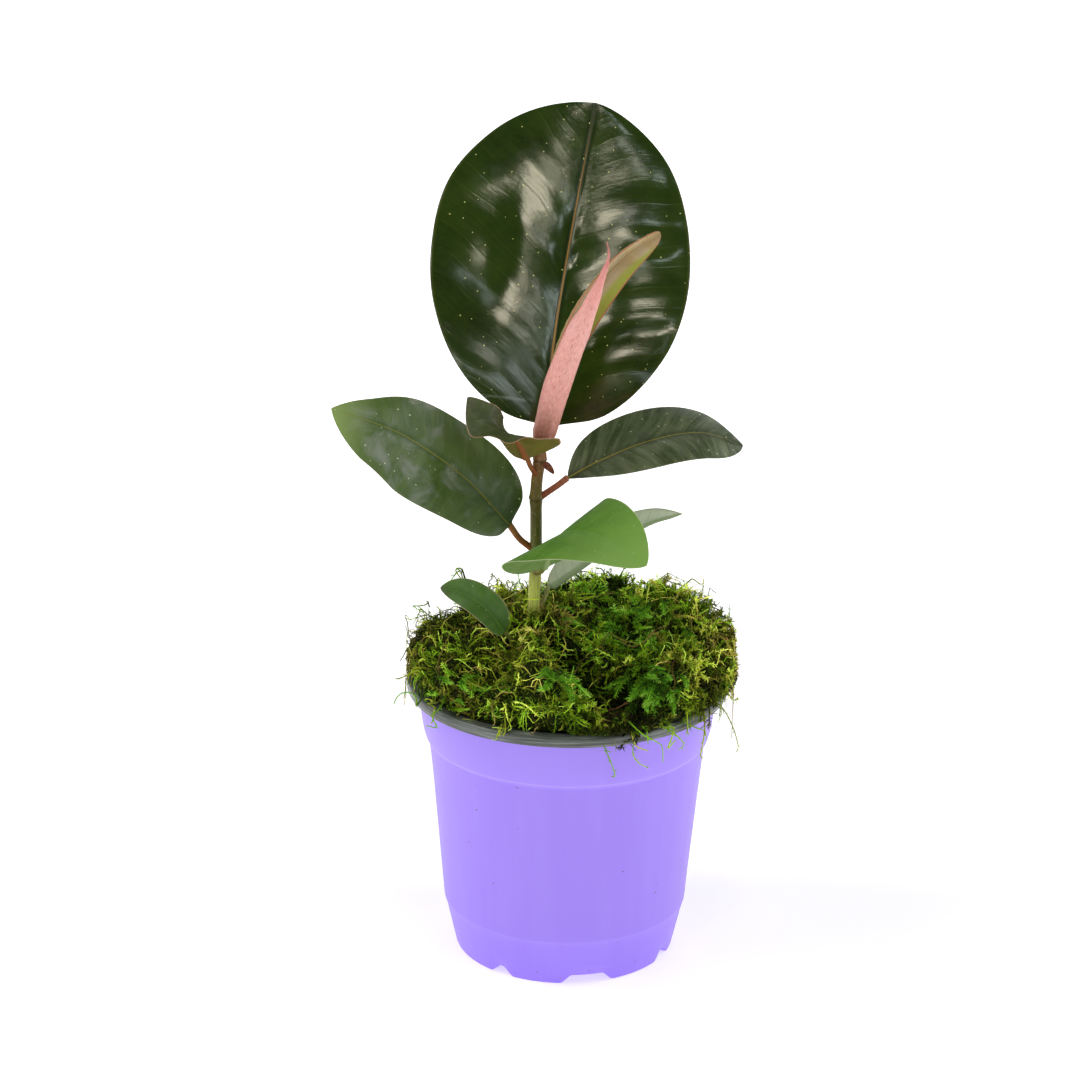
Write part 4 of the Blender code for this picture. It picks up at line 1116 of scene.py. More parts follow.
# Colours as they look on screen; shares, sizes and strengths as the functions of LeafSkin use them.
LOOK_COMMON = dict(
    specular=0.4, sheen=WHITE, cloud=0.045, band=0.35, painted_sheen=None, gutter=0.5, tip=None,
    flush=None, dot_size=1.0, dot_gap=0.62, scar_gap=0.72, scar_share=0.7, rib_size=0.55,
    rib_fade=0.85, rib_share=0.9, edge_from=0.965, edge_share=0.7, rough_vary=0.16, detail=3.0,
    line_bump=0.22, streaks=0.25, wrinkle=0.25, blister=0.5, pores=0.25)
LOOKS = {
    "big_leaf": dict(
        greens=((24, 40, 4), (34, 52, 8), (48, 66, 16)), vein=(96, 106, 44), vein_share=0.12,
        rib=(150, 104, 34), rib_size=0.52, rib_fade=0.62, edge=(72, 84, 30), edge_share=0.4, gutter=0.85,
        dot=(214, 214, 130), dot_gap=0.70, dot_size=0.85, scar=(20, 28, 14), scar_gap=0.66, scar_share=0.9,
        under=((110, 128, 72), (92, 112, 58)), under_rib=(150, 140, 96),
        petiole=((146, 108, 60), (150, 126, 62)), rough=0.14, rough_vary=0.08, specular=0.5,
        sheen=(1.0, 0.96, 0.82, 1.0), detail=1.0, pores=0.05, line_bump=0.06, wrinkle=0.05, streaks=0.045,
        blister=-0.5),
    "left_leaf": dict(
        greens=((50, 78, 18), (68, 94, 30), (90, 112, 52)), vein=(112, 130, 76), vein_share=0.08,
        rib=(128, 128, 40), rib_size=0.42, edge=(112, 116, 60), dot=(214, 220, 180), dot_gap=0.72,
        scar=(206, 210, 190), scar_gap=0.82, band=0.75, painted_sheen=(128, 136, 120),
        under=((120, 140, 86), (104, 124, 72)), under_rib=(160, 160, 112),
        petiole=((158, 92, 44), (168, 108, 52)), rough=0.40, rough_vary=0.2, wrinkle=0.4, streaks=0.3,
        tip=((136, 158, 84), 0.66, 1.0)),
    "right_leaf": dict(
        greens=((42, 56, 20), (64, 78, 38), (114, 124, 90)), vein=(120, 128, 84), vein_share=0.08,
        rib=(150, 138, 52), rib_size=0.42, edge=(140, 144, 116), dot=(212, 214, 160), dot_gap=0.50,
        scar=(40, 46, 30), scar_gap=0.90, band=1.0, painted_sheen=(88, 98, 74),
        under=((112, 124, 78), (98, 110, 64)), under_rib=(156, 150, 106),
        petiole=((164, 84, 52), (176, 104, 72)), rough=0.36, specular=0.45, wrinkle=0.5, streaks=0.45),
    "front_leaf": dict(
        greens=((64, 110, 16), (78, 126, 22), (100, 146, 44)), vein=(120, 158, 72), vein_share=0.10,
        rib=(150, 180, 110), rib_size=0.45, rib_share=0.30, edge=(200, 208, 160), edge_from=0.975,
        edge_share=0.9, dot=(220, 232, 200), dot_gap=0.50, dot_size=0.5, gutter=0.15,
        scar=(170, 186, 130), scar_gap=0.92, under=((126, 156, 88), (112, 146, 74)),
        under_rib=(160, 180, 122), petiole=((120, 110, 50), (132, 140, 66)), rough=0.55,
        specular=0.25, wrinkle=0.45, streaks=0.15, cloud=0.08, tip=((132, 174, 78), 0.45, 1.0)),
    "back_leaf": dict(
        greens=((148, 168, 114), (170, 186, 138), (194, 204, 166)), vein=(160, 172, 134),
        vein_share=0.15, rib=(170, 178, 140), edge=(160, 168, 130), dot=(206, 210, 180),
        scar=(168, 170, 140), scar_gap=0.9, under=((188, 196, 168), (170, 182, 148)),
        under_rib=(140, 156, 116), petiole=((140, 140, 80), (150, 156, 96)), rough=0.55, specular=0.3),
    "low_leaf": dict(
        greens=((56, 96, 14), (70, 110, 24), (96, 132, 46)), vein=(112, 148, 70), vein_share=0.08,
        rib=(96, 124, 44), rib_size=0.4, edge=(186, 170, 128), edge_from=0.94, edge_share=0.85,
        dot=(190, 200, 150), scar=(140, 120, 120), scar_gap=0.8, painted_sheen=(96, 124, 78),
        under=((136, 156, 100), (120, 142, 84)), under_rib=(170, 176, 130),
        petiole=((130, 136, 60), (140, 146, 66)), rough=0.45, specular=0.35),
    "folded_leaf": dict(
        greens=((52, 64, 26), (70, 80, 42), (98, 104, 70)), vein=(120, 124, 90), vein_share=0.08,
        rib=(64, 66, 32), rib_size=0.4, rib_share=0.6, edge=(196, 148, 120), edge_from=0.95,
        edge_share=0.95, dot=(170, 170, 130), scar=(140, 130, 100), under=((98, 92, 28), (118, 112, 44)),
        under_rib=(146, 84, 40), petiole=((146, 80, 40), (150, 94, 48)), rough=0.36, wrinkle=0.5),
    "young_leaf": dict(
        greens=((160, 134, 82), (198, 174, 126), (216, 200, 164)), vein=(186, 172, 124),
        vein_share=0.15, rib=(150, 120, 72), edge=(196, 110, 84), edge_from=0.90, edge_share=0.95,
        dot=(200, 196, 150), dot_gap=0.95, scar=(160, 140, 100), scar_gap=0.95,
        flush=((178, 194, 80), 2.2, 4.6), under=((150, 130, 74), (170, 152, 98)),
        under_rib=(150, 124, 84), petiole=((150, 112, 60), (150, 126, 70)), rough=0.30, specular=0.5,
        band=0.7, painted_sheen=(200, 188, 168)),
}
for leaf, leaf_spec in LEAVES.items():
    make_leaf(leaf, {**LEAF_COMMON, **leaf_spec}, {**LOOK_COMMON, **LOOKS[leaf]})


# ---------------------------------------------------------------- moss
MOSS_X = STEM_X - 1.0          # the cushions lie round this place, a little to the left of the stem
MOSS_NEAR = STEM_RADIUS + 2.6
OVER_LIP, ON_LIP = RIM_TOP + 0.4, RIM_TOP + 0.35
SHOULDER, POT_WALL, SKIN_CENTRE_Z = 12.0, 48.2, 92.0
UP_STEPS, IN_STEPS = 14, 24                                     # points up the shoulder, and inwards
BODY_IN, BODY_DOWN = 3.2, 3.8                                   # how far the body lies under the surface
STEM_FOOT_X, STEM_CLEAR = STEM_X - 0.7, 3.0
STRAND_INSET, STRAND_SOFT = 0.6, 7.0                            # strands ease off before the model's box
TUFT_TRIES, CARPET_LEAFLETS, STRAND_SIDES, BEND_KEPT = 9000, 2600, 3, 0.7
MOSS = {   # first and last angle, then height and reach at three places between them
    "moss_right": (-42.5, 28.5, (112, 115, 117), (56.5, 60.0, 58.0)),
    "moss_back_right": (30, 88.5, (117, 117, 115), (56.5, 55.0, 54.0)),
    "moss_back_left": (90, 158.5, (116, 115, 116), (54.0, 54.5, 55.0)),
    "moss_left": (160, 225, (116, 117, 111), (55.5, 55.0, 52.5)),
    "moss_front_left": (253, 282, (110, 114, 113), (52.0, 52.0, 52.5)),
    "moss_front_right": (283.5, 316, (108, 107, 110), (54.0, 58.0, 56.5)),
}
SPANS = {name: row[:2] for name, row in MOSS.items()}
SPANS.update(moss_left=(159.6, 240), moss_front_left=(240.5, 282.4))    # close round the low leaf
SEAM = MOSS["moss_right"][0]
RUN_ANGLES = np.concatenate([np.linspace(a, b, 3) for a, b, _, _ in MOSS.values()])
RUN_HEIGHTS = np.concatenate([h for _, _, h, _ in MOSS.values()])
RUN_REACHES = np.concatenate([r for _, _, _, r in MOSS.values()])
# hollows, and heaps where the depth is negative: x, y, depth, size
DIPS = [(15, -37, 11.0, 8.5), (20, -47, 9.0, 7.0), (-25, -31, 6.0, 4.0), (22, -16, 6.0, 5.5),
        (-37, 9, 5.0, 5.0), (-5, 34, 5.0, 6.0), (43, -26, 5.0, 4.0), (-1, -25, 4.0, 4.5),
        (-27, -8, 4.5, 4.5), (12, 12, 4.5, 6.0), (14, 34, 4.5, 6.0), (-44, 4, 3.0, 8.0),
        (-9, -34, -4.5, 7.0), (33, -8, -3.5, 7.0), (33, 20, -4.5, 7.5), (-18, 22, -2.0, 7.5),
        (-10, -6, -11.0, 9.0), (38, -30, -4.0, 6.0), (-38, 20, 5.0, 11.0)]
# where the moss is more tan (up) or more green (down): x, y, size, shift of tone
TINTS = ((-9, -40, 11, 0.16), (-38, -12, 18, 0.05), (30, -38, 9, -0.10), (-1, -40, 4, -0.16),
         (12, -40, 8, 0.06), (30, 4, 22, -0.05), (18, 24, 22, -0.05), (46, -6, 9, 0.06))
# single strands that hang over the lip or stick out: where each starts and ends
LOOSE_ENDS = [
    ((9, -49, 101), (14.5, -57, 83)), ((17, -48, 101), (31, -55.2, 88)), ((21, -47, 100), (26, -55.5, 86)),
    ((41, -34, 103), (44.5, -39, 84)), ((46, -30, 103), (57, -34, 84)), ((48, -22, 106), (57.5, -26, 99)),
    ((-47, -18, 104), (-56.5, -24, 104)), ((-46, -24, 101), (-57, -29, 97)),
    ((-41, -33, 101), (-46, -37, 93)), ((44, -8, 113), (53, -12, 121)),
    ((34, -2, 114), (42, -4, 125)), ((22, 6, 114), (20, 3, 127)),
    ((8, 4, 114), (3, 1, 125)), ((-18, -6, 112), (-22, -9, 122)), ((46, -14, 111), (57, -18, 112)),
    ((30, -46, 100), (36, -52.5, 92)), ((-20, -48, 100), (-24, -55, 95)), ((36, 30, 113), (46, 38, 118)),
    ((-34, 34, 112), (-44, 42, 112)), ((2, 46, 108), (4, 60, 98)), ((-44, 20, 110), (-56, 26, 106)),
    ((28, 42, 110), (34, 52, 100))]
SLIVER = np.array([[0, 1, 2], [1, 3, 2], [3, 0, 2], [0, 3, 1]])     # the faces of a leaflet
STRANDS = {name: [] for name in MOSS}
RNG = np.random.default_rng(20240611)


def degrees_of(angle):
    """An angle in degrees, counted on from the first cushion."""
    return (np.degrees(angle) - SEAM) % 360 + SEAM


def ground(x, y, scale):
    """Places at which noise is read over the ground."""
    return np.stack([x, y, 0 * x], -1) * scale


def from_stem(angle, radius):
    """How far it is from the moss's centre to a circle of this radius about the pot's axis."""
    along = MOSS_X * np.cos(angle)
    return -along + np.sqrt(along ** 2 - MOSS_X ** 2 + radius ** 2)


def moss_form(angle):
    """Height and edge of the moss in a direction."""
    turn = degrees_of(angle)
    height = np.interp(turn, RUN_ANGLES, RUN_HEIGHTS, period=360)
    reach = np.interp(turn, RUN_ANGLES, RUN_REACHES, period=360)
    return height + 1.3 * np.sin(7 * angle) + 0.8 * np.sin(13 * angle + 1.0), from_stem(angle, reach)


def clumps(x, y):
    """How far the cushion's clumps and hollows stand above or below its mean surface."""
    rise = 3.0 * lumps(ground(x, y, 0.10), 21) + 2.2 * lumps(ground(x, y, 0.24), 22)
    for dx, dy, depth, size in DIPS:
        rise = rise - depth * spot_bell(x, y, dx, dy, size * size)
    return rise


def moss_top(x, y):
    """Height of the cushion's surface, and how far out it is as a share of the edge."""
    out = np.hypot(x - MOSS_X, y)
    height, edge = moss_form(np.arctan2(y, x - MOSS_X))
    middle = OVER_LIP + 0.15 * (height - OVER_LIP)
    shoulder = np.clip((out - (edge - SHOULDER)) / SHOULDER, 0.0, 1.0)
    z = middle + (height - middle) * np.sqrt(1 - shoulder ** 2)
    return z + clumps(x, y) * (1 - 0.7 * shoulder) - 0.6, out / edge


def turned(angle, out, z):
    """Points this far out from the moss's centre at an angle."""
    return np.stack([MOSS_X + out * math.cos(angle), out * math.sin(angle), z], -1)


def moss_skin(node):
    """The dark cushion's outer surface, as points from the lip up and over to the stem."""
    first, last = SPANS[node]
    angles = np.radians(np.linspace(first, last, int((last - first) / 1.5)))
    up, rings = np.linspace(0, np.pi / 2, UP_STEPS), []
    steep = np.r_[up, np.full(IN_STEPS - 1, np.pi / 2)]
    for angle in angles:
        _, edge = moss_form(angle)
        inward = np.linspace(edge - SHOULDER, MOSS_NEAR + 0.4, IN_STEPS)
        out = np.r_[edge - SHOULDER * (1 - np.cos(up)), inward[1:]]
        z, _ = moss_top(MOSS_X + out * math.cos(angle), out * math.sin(angle))
        out = out - BODY_IN * np.cos(steep)
        z = np.maximum(z - BODY_DOWN * np.sin(steep), OVER_LIP + 1.2)
        out = np.r_[out[0] - 0.4, out[0] - 0.1, out]
        rings.append(turned(angle, out, np.r_[OVER_LIP + 0.3, (OVER_LIP + z[0]) / 2, z]))
    skin = np.array(rings)
    normal = unit(np.cross(np.gradient(skin, axis=0), np.gradient(skin, axis=1)))
    outward = np.sum(normal * unit(skin - np.array([MOSS_X, 0, SKIN_CENTRE_Z])), -1, keepdims=True)
    normal = normal * np.where(outward < 0, -1, 1)
    bumps = 1.0 * lumps(skin * 0.40, 31) + 0.5 * lumps(skin * 1.0, 32)
    bumps = bumps * smoothstep(0.0, 3.0, np.arange(skin.shape[1]))[None]
    skin = skin + normal * bumps[..., None]
    skin[..., 2] = np.clip(skin[..., 2], OVER_LIP + 0.3, HIGH[2])
    return skin, normal, angles


def moss_body(node):
    """The cushion's body: its skin, closed below over the soil and the lip."""
    skin, _, angles = moss_skin(node)
    low = []
    for angle, start in zip(angles, skin[:, 0]):
        inside = from_stem(angle, POT_WALL)
        r = np.array([MOSS_NEAR, inside, inside, np.hypot(start[0] - MOSS_X, start[1]) - 0.6])
        low.append(turned(angle, r, np.array([SOIL_TOP + 0.3, SOIL_TOP + 0.3, OVER_LIP, OVER_LIP])))
    return closed_tube(np.concatenate([np.array(low), skin], 1))


def tubes(lines, radii, sides):
    """Thin closed tubes along many lines (n, k, 3); radii is (n, k)."""
    n, k = lines.shape[:2]
    ahead = unit(np.gradient(lines, axis=1))
    reference = unit(RNG.normal(size=(n, 1, 3)))
    side = unit(reference - ahead * np.sum(ahead * reference, -1, keepdims=True))
    face = np.cross(ahead, side)
    angle = circle(sides)
    ring = section(side, face, np.cos(angle), np.sin(angle))
    points = lines[:, :, None] + ring * radii[:, :, None, None]
    first = (np.arange(n) * k * sides)[:, None, None]
    cap = np.arange(sides)
    ends = np.stack([cap[::-1], (k - 1) * sides + cap])[None] + first
    faces = [(ring_quads(k, sides)[None] + first).reshape(-1, 4), ends.reshape(-1, sides)]
    along = np.tile(np.repeat(np.linspace(0, 1, k), sides), n)
    return (points.reshape(-1, 3), faces, along), ahead, side, face


def leaflets(lines, ahead, side, face, count, length, spread, lean, stout=0.34):
    """Small pointed scales in two rows along each line: closed slivers of four triangles."""
    n, k = lines.shape[:2]
    place = np.linspace(0.08, 0.98, count)
    place = np.clip(place[None] + RNG.uniform(-0.4, 0.4, (n, count)) / count, 0.02, 0.99) * (k - 1)
    index = np.minimum(place.astype(int), k - 2)
    u, rows = (place - index)[..., None], np.arange(n)[:, None]
    at = lines[rows, index] * (1 - u) + lines[rows, index + 1] * u
    t, s, f = ahead[rows, index], side[rows, index], face[rows, index]
    turn = np.where(np.arange(count) % 2, 0.0, np.pi)[None] + RNG.normal(0, spread, (n, count))
    out = s * np.cos(turn)[..., None] + f * np.sin(turn)[..., None]
    tilt = RNG.normal(lean, 0.2, (n, count))[..., None]
    way = unit(t * np.cos(tilt) + out * np.sin(tilt))
    share = place / (k - 1)
    grown = 0.35 + 0.65 * np.sin(np.pi * np.clip(share * 0.72 + 0.24, 0, 1))
    size = (length[:, None] * grown * RNG.uniform(0.7, 1.25, (n, count)))[..., None]
    width, flat = stout * size, np.cross(t, out)
    middle = at + way * size * 0.4
    tip = at + way * size - flat * size * RNG.uniform(0.0, 0.35, (n, count))[..., None]
    corners = np.stack([at - t * width * 0.6, middle + t * width * 0.6, middle + flat * width * 0.45, tip], 2)
    faces = SLIVER[None] + (np.arange(n * count) * 4)[:, None, None]
    along = np.stack([share * 0.6, share * 0.6 + 0.25, share * 0.6 + 0.25, share * 0.4 + 0.6], 2)
    return corners.reshape(-1, 3), [faces.reshape(-1, 3)], along.ravel()


def grow(start, heading, length, nodes, curl, droop):
    """Lines that start somewhere and bend as they grow (n, nodes, 3)."""
    n, down = len(start), np.array([0, 0, -1.0])
    step = (length / (nodes - 1))[:, None]
    way, bend, here = unit(heading), RNG.normal(size=(n, 3)) * curl[:, None], start
    lines = [here]
    for _ in range(nodes - 1):
        bend = BEND_KEPT * bend + RNG.normal(size=(n, 3)) * (curl * (1 - BEND_KEPT) * 1.6)[:, None]
        way = unit(way + bend + down * droop[:, None])
        here = here + way * step
        lines.append(here)
    return np.stack(lines, 1)


def press_in(x, y, z, above, loose):
    """Brings points back to the cushion's surface and inside its uneven edge."""
    top, share = moss_top(x, y)
    turn = np.arctan2(y, x - MOSS_X)
    cap = 0.94 + 0.05 * lumps(np.stack([5 * np.cos(turn), 5 * np.sin(turn), 0.12 * z], -1), 51)
    cap = cap + 0.015 * smoothstep(34, 48, x)
    closer = np.where(share > cap, (cap + (share - cap) * 0.35) / np.maximum(share, cap), 1.0)
    x, y = MOSS_X + (x - MOSS_X) * closer, y * closer
    top, share = moss_top(x, y)
    inner = share < 0.97
    z = np.where(inner & (z > top + above), top + above + (z - top - above) * loose, z)
    z = np.where(inner, np.maximum(z, top - 6.0), z)
    free = np.maximum(smoothstep(30, 46, np.abs(x)), smoothstep(-30, -10, y))    # may bulge over the lip
    closer = np.minimum(1.0, (RIM_RADIUS - 0.9 + 4.0 * free) / np.maximum(np.hypot(x, y), 1))
    return x, y, z, closer


def settle(lines, above, loose, bound=True):
    """Keeps lines near the cushion's surface, off the lip and the stem, and inside the model's box."""
    x, y, z = lines[..., 0], lines[..., 1], lines[..., 2]
    if bound:
        x, y, z, closer = press_in(x, y, z, above, loose)
    radius = np.hypot(x, y)
    if bound:
        x, y, radius = x * closer, y * closer, radius * closer
    on_lip = (radius > COLLAR_RADIUS - 4) & (radius < RIM_RADIUS + 0.5)
    z = np.where(on_lip, np.maximum(z, ON_LIP), z)
    below = (z < RIM_TOP + 0.3) & (radius < RIM_RADIUS + 0.6) & (radius > COLLAR_RADIUS - 6)
    push = np.where(below, (RIM_RADIUS + 0.6) / np.maximum(radius, 1), 1.0)
    x, y = x * push, y * push
    gap = np.maximum(np.hypot(x - STEM_FOOT_X, y), 0.4)
    away = np.where(gap < STEM_CLEAR, STEM_CLEAR / gap - 1, 0.0)
    x, y = x + (x - STEM_FOOT_X) * away, y * (1 + away)
    return soft_limit(np.stack([x, y, z], -1), LOW + STRAND_INSET, HIGH - STRAND_INSET, STRAND_SOFT)


def carpet(node, count):
    """Small leaflets that stand all over a cushion's body."""
    skin, normal, _ = moss_skin(node)
    spots, ways = skin[:, 1:].reshape(-1, 3), normal[:, 1:].reshape(-1, 3)
    pick = RNG.integers(0, len(spots), count)
    at = spots[pick] + RNG.normal(0, 0.5, (count, 3)) - ways[pick] * 0.2
    way = unit(ways[pick] + RNG.normal(0, 0.75, (count, 3)))
    side = unit(np.cross(way, RNG.normal(size=(count, 3))))
    size = RNG.uniform(1.4, 3.0, (count, 1))
    tip = at + way * size + side * size * RNG.uniform(-0.3, 0.3, (count, 1))
    flat = np.cross(way, side)
    corners = np.stack([at - side * 0.28, at + side * 0.28 + way * size * 0.35,
                        at + flat * 0.2 + way * size * 0.2, tip], 1)
    x, y, _ = corners.mean(1).T
    a, b, c = (corners[:, k] - corners[:, 0] for k in (1, 2, 3))
    inside_out = np.einsum("ij,ij->i", a, np.cross(b, c)) > 0
    corners[inside_out, 1:3] = corners[inside_out, 2:0:-1]
    radius = np.hypot(corners[..., 0], corners[..., 1])
    keep = radius.max(1) < RIM_RADIUS + 3
    z = corners[..., 2]
    corners[..., 2] = np.where(radius > COLLAR_RADIUS - 4, np.maximum(z, ON_LIP), z)
    corners, x, y = corners[keep], x[keep], y[keep]
    n = len(corners)
    tone = region_tone(x, y) + RNG.normal(0, 0.10, n)
    light = RNG.uniform(0.15, 0.65, n) * daylight(x, y)
    faces = (SLIVER[None] + (np.arange(n) * 4)[:, None, None]).reshape(-1, 3)
    along = np.tile([0.1, 0.4, 0.4, 0.9], n)
    return corners.reshape(-1, 3), [faces], along, np.repeat(tone, 4), np.repeat(light, 4)


def region_tone(x, y):
    """Where each colour of moss grows: olive and gold on the left, fresh green right and behind."""
    tone = 0.45 + 0.12 * lumps(ground(x, y, 0.06), 41) + 0.08 * lumps(ground(x, y, 0.16), 42)
    for dx, dy, size, shift in TINTS:
        tone = tone + shift * spot_bell(x, y, dx, dy, size * size)
    return tone


def daylight(x, y):
    """Crests are seen bright and hollows dark."""
    bright = 1.08 + 0.17 * clumps(x, y) + 0.15 * smoothstep(0, 30, y) - 0.22 * smoothstep(34, 48, x)
    return np.clip(bright - 0.35 * spot_bell(x, y, 15, -37, 70), 0.08, 1.6)


def left_side(x, y):
    return smoothstep(14, -12, x + 4 * np.sin(y * 0.3))


def right_side(x, y):
    return 1 - left_side(x, y)


def tuft_places(apart):
    """Well spaced places on the cushions, and the direction in which each faces."""
    spots, ways, areas = [], [], []
    for node in MOSS:
        skin, normal, _ = moss_skin(node)
        a, b, c = skin[:-1, 1:-1], skin[1:, 1:-1], skin[:-1, 2:]
        areas.append(np.linalg.norm(np.cross(b - a, c - a), axis=-1).ravel())
        spots.append(((b + c) / 2).reshape(-1, 3))
        ways.append(normal[:-1, 1:-1].reshape(-1, 3))
    spots, ways, areas = np.vstack(spots), np.vstack(ways), np.concatenate(areas)
    chosen = []
    for i in RNG.choice(len(spots), TUFT_TRIES, p=areas / areas.sum()):
        if not chosen or np.min(np.linalg.norm(spots[chosen] - spots[i], axis=1)) > apart:
            chosen.append(i)
    return spots[chosen], ways[chosen]


def keep_strands(x, y, parts, tone, light):
    """Files built strands under the cushion that they stand on."""
    n, turn = len(x), degrees_of(np.arctan2(y, x - MOSS_X))
    low, high = np.array(list(SPANS.values())).T
    off_middle = np.abs((turn[:, None] - (low + high) / 2 + 180) % 360 - 180)
    owner = np.argmin(off_middle - (high - low) / 2, axis=1)
    for number, name in enumerate(MOSS):
        mine = np.nonzero(owner == number)[0]
        for points, face_lists, along in parts if len(mine) else ():
            per = len(points) // n
            shift = ((np.arange(len(mine)) - mine) * per)[:, None, None]
            chosen = [(faces.reshape(n, len(faces) // n, -1)[mine] + shift).reshape(-1, faces.shape[1])
                      for faces in face_lists]
            STRANDS[name].append((points.reshape(n, per, 3)[mine].reshape(-1, 3), chosen,
                                  along.reshape(n, per)[mine].ravel(), np.repeat(tone[mine], per),
                                  np.repeat(light[mine], per)))


def add_strands(places, each, length, radius, curl, droop, scales=None, nodes=8, pick=None, tone=0.0,
                lift=0.8, above=2.0, loose=0.4, shaded=1.0):
    """One kind of moss on the tufts: strands that radiate. scales: how many, length, spread, lean."""
    spots, ways = places
    chance = RNG.uniform(size=len(spots))
    if pick:
        keep = chance < pick(spots[:, 0], spots[:, 1])
        spots, ways = spots[keep], ways[keep]
    size = RNG.uniform(0.65, 1.35, len(spots))
    shade = region_tone(spots[:, 0], spots[:, 1]) + RNG.normal(0, 0.09, len(spots))
    tuft = np.repeat(np.arange(len(spots)), each)
    n, way = len(tuft), ways[tuft]
    offset = RNG.normal(size=(n, 3))
    offset = offset - way * np.sum(offset * way, -1, keepdims=True)
    start = spots[tuft] + offset * (1.5 * size[tuft])[:, None] - way * RNG.uniform(0.2, 1.6, (n, 1))
    heading = way * RNG.uniform(0.3, 1.3, (n, 1)) * lift + unit(offset) * RNG.uniform(0.4, 1.2, (n, 1)) \
        + RNG.normal(0, 0.35, (n, 3))
    long = RNG.uniform(*length, n) * size[tuft]
    lines = settle(grow(start, heading, long, nodes, RNG.uniform(0.6, 1.4, n) * curl,
                        RNG.uniform(0.4, 1.6, n) * droop), above, loose)
    width = np.linspace(1.0, 0.5, nodes)[None] * RNG.uniform(*radius, n)[:, None]
    part, *frames = tubes(lines, width, STRAND_SIDES)
    parts = [part]
    if scales:
        many, large, about, lean = scales
        parts.append(leaflets(lines, *frames, many, RNG.uniform(*large, n), about, lean))
    even = 0.3 * left_side(spots[:, 0], spots[:, 1])
    bright = RNG.uniform(0, 1, len(spots)) ** (1.6 - 0.4 * even)
    bright = (0.35 + 0.1 * even + (1.7 - 1.3 * even) * bright)[tuft] * RNG.uniform(0.6, 1.35, n)
    bright = bright * daylight(start[:, 0], start[:, 1]) ** shaded
    keep_strands(start[:, 0], start[:, 1], parts, shade[tuft] + tone + RNG.normal(0, 0.04, n), bright)


def add_fronds(spot, count, size, tone):
    """Feathery fronds that lie over the cushion."""
    x, y = spot[0] + RNG.normal(0, size, count), spot[1] + RNG.normal(0, size * 0.6, count)
    start = np.c_[x, y, moss_top(x, y)[0] + RNG.uniform(-1.0, 1.2, count)]
    heading = np.c_[RNG.normal(0.1, 0.5, count), RNG.normal(-0.9, 0.35, count), RNG.uniform(-0.3, 0.5, count)]
    curl, droop = np.full(count, 0.14), np.full(count, 0.07)
    lines = settle(grow(start, heading, RNG.uniform(9, 18, count), 9, curl, droop), 2.5, 0.6)
    width = np.linspace(1.0, 0.5, 9)[None] * RNG.uniform(0.26, 0.36, count)[:, None]
    part, ahead, _, _ = tubes(lines, width, STRAND_SIDES)
    level = np.array([0.0, -0.4, 1.0])
    up = unit(level - ahead * (ahead @ level)[..., None])
    long = RNG.uniform(1.5, 2.6, count)
    scale = leaflets(lines, ahead, np.cross(ahead, up), up, 44, long, 0.22, 1.0, 0.24)
    keep_strands(x, y, [part, scale], tone + RNG.normal(0, 0.05, count), RNG.uniform(1.0, 1.7, count))


def add_hanging():
    """The single strands, and once more a shorter one near each."""
    nodes, n = 14, len(LOOSE_ENDS)
    t = np.linspace(0, 1, nodes)[None, :, None]
    for copy in range(2):
        start, end = (np.array(side, float) + RNG.normal(0, stray, (n, 3)) * copy
                      for side, stray in zip(zip(*LOOSE_ENDS), (1.4, 3.2)))
        if copy:
            end = start + (end - start) * RNG.uniform(0.3, 0.7, (n, 1))
        sag = sum(np.sin(k * np.pi * t) * RNG.normal(0, 2.4 / k ** 0.7, (n, 1, 3)) for k in (1, 2, 3, 4))
        arch = np.array([0, 0, 2.4]) * np.sin(np.pi * np.minimum(t * 1.3, 1.0))
        straight = start[:, None] * (1 - t) + end[:, None] * t
        lines = settle(straight + sag * np.sqrt(t) + arch, 0.5, 1.0, False)
        width = np.linspace(1.0, 0.5, nodes)[None] * RNG.uniform(0.30, 0.44, n)[:, None]
        part, *frames = tubes(lines, width, STRAND_SIDES)
        scales = leaflets(lines, *frames, 22, RNG.uniform(0.8, 1.9, n), 0.8, 0.8)
        keep_strands(start[:, 0], start[:, 1], [part, scales], RNG.uniform(0.28, 0.66, n),
                     RNG.uniform(0.9, 1.3, n))


def moss_material():
    """Strands from green over olive to tan by their tone, darkened and lit by painted light, their lit tips
    pale as a painted highlight; the body is dark as painted shade.
    """
    s = Shader("moss_look", Specular_IOR_Level=0.10)
    tone, along, body, light = s.fields("tone", "along", "body", "light")
    place = s.place()
    blotch = s.noise(place, 260.0, 3.0, 0.6)
    key = s.plus(tone, s.times(s.minus(blotch, 0.5), 0.22))
    green = s.ramp(key, (0.0, (72, 122, 24)), (0.22, (104, 164, 34)), (0.36, (142, 188, 32)),
                   (0.50, (166, 186, 42)), (0.62, (190, 186, 66)), (0.78, (214, 192, 104)),
                   (1.0, (190, 134, 76)))
    # painted shade and light: dark at a strand's root, brighter towards its tip, times the light it carries
    shade = s.times(s.span(along, 0.05, 0.85, 0.05, 1.40), light)
    # painted highlight: the most brightly lit tips turn pale
    green = s.mix(s.span(s.times(along, light), 0.8, 2.0, 0.0, 0.35), green, (216, 222, 120))
    lit = s.mix(1.0, green, s.vector(shade, shade, shade), "MULTIPLY")
    grain = s.noise(place, 1500.0, 5.0, 0.7)
    # the body: near black, painted shade in the gaps between strands
    under = s.ramp(grain, (0.30, (14, 20, 3)), (0.50, (34, 44, 8)), (0.70, (60, 70, 16)),
                   (0.85, (90, 68, 28)))
    s.set("Base Color", s.mix(body, lit, under))
    s.set("Roughness", s.span(blotch, 0.2, 0.8, 0.50, 0.75))
    s.set("Normal", s.bump(grain, 0.8, 0.0006))
    return s.mat


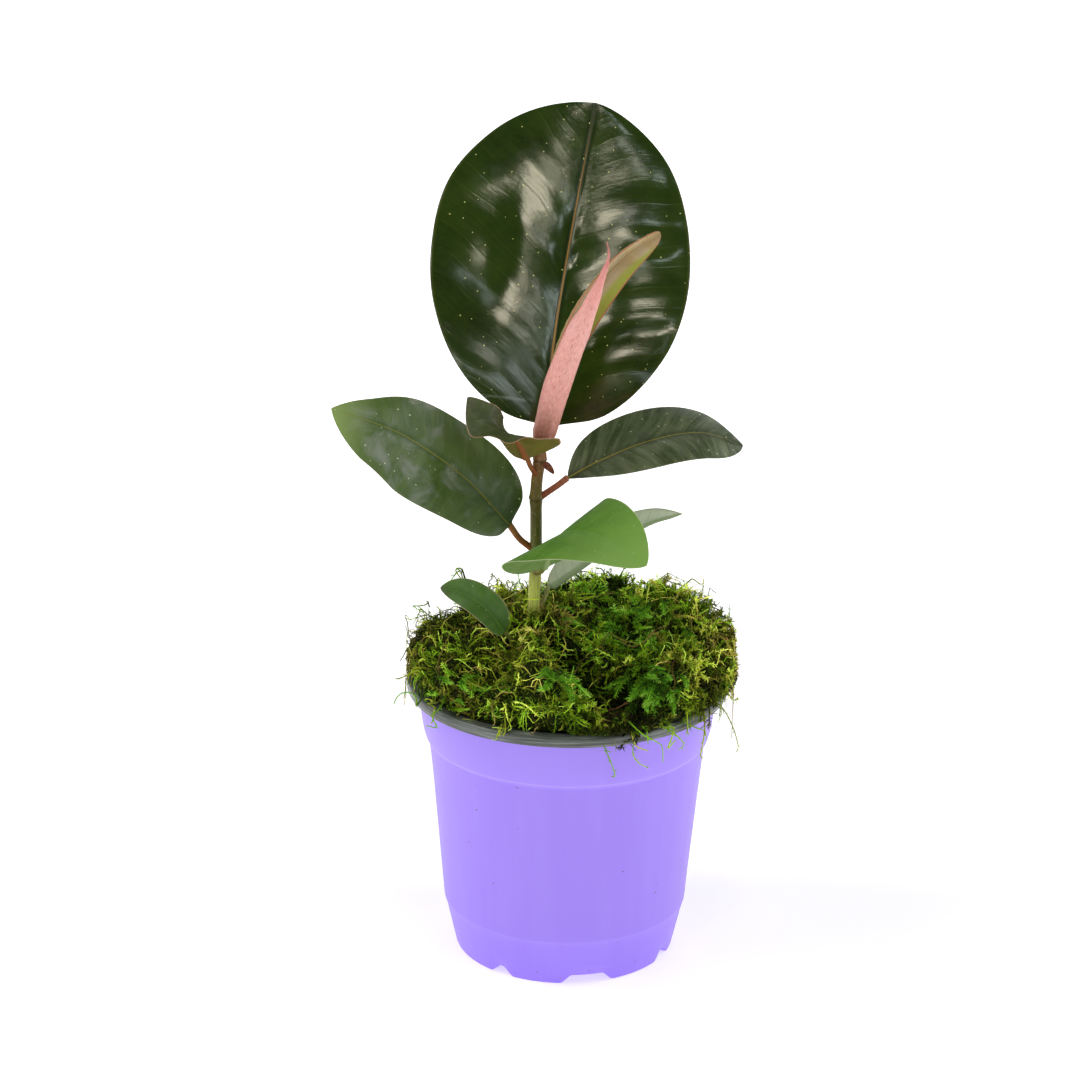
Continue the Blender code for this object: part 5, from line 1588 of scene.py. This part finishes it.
def grow_moss():
    """Curly tufts on the left and feathery ones on the right, then long, tan and upright strands."""
    places, more = tuft_places(4.6), tuft_places(5.4)
    add_strands(places, 9, (5, 11), (0.22, 0.34), 0.85, 0.06, (10, (1.0, 1.8), 1.0, 0.8), 9, left_side)
    add_strands(places, 8, (5, 12), (0.22, 0.32), 0.40, 0.10, (17, (1.3, 2.4), 0.8, 0.85), 8, right_side)
    add_strands(more, 4, (9, 17), (0.18, 0.30), 0.85, 0.08, (5, (0.6, 1.1), 1.2, 0.9), 13, tone=0.03,
                above=0.8)
    add_strands(more, 1, (10, 24), (0.24, 0.38), 0.42, 0.14, nodes=13, tone=0.24, above=1.4, lift=0.5,
                shaded=0.2)
    add_strands(more, 1, (5, 11), (0.20, 0.32), 0.25, 0.0, (9, (0.9, 1.8), 1.2, 0.6), lift=2.0, above=6.0,
                loose=0.8, shaded=0.4)
    for spot, count, size, tone in (((30, -36), 16, 4.0, 0.19), ((25, -30), 8, 3.0, 0.19),
                                    ((-3, -41), 8, 2.5, 0.19), ((18, 10), 20, 12.0, 0.20),
                                    ((-34, -30), 10, 6.0, 0.24)):
        add_fronds(spot, count, size, tone)
    add_hanging()


def make_cushion(node, mat):
    """A cushion's body with its carpet and all strands that stand on it, as one piece."""
    points, (quads, tris) = moss_body(node)
    STRANDS[node].append(carpet(node, CARPET_LEAFLETS))
    quads, tris, total = [quads], [tris], len(points)
    rows = [(points, *(np.full(total, value) for value in (0.0, 0.3, 1.0, 1.0)))]
    for more, face_lists, along, tone, light in STRANDS[node]:
        for faces in face_lists:
            (quads if faces.shape[1] == 4 else tris).append(faces + total)
        rows.append((more, along, tone, np.zeros(len(more)), light))
        total += len(more)
    points, *values = (np.concatenate(column) for column in zip(*rows))
    mesh_piece(node + "_cushion", points, [np.vstack(quads), np.vstack(tris)], mat, [node],
               dict(zip(("along", "tone", "body", "light"), values)))


grow_moss()
moss_look = moss_material()
for cushion in MOSS:
    make_cushion(cushion, moss_look)
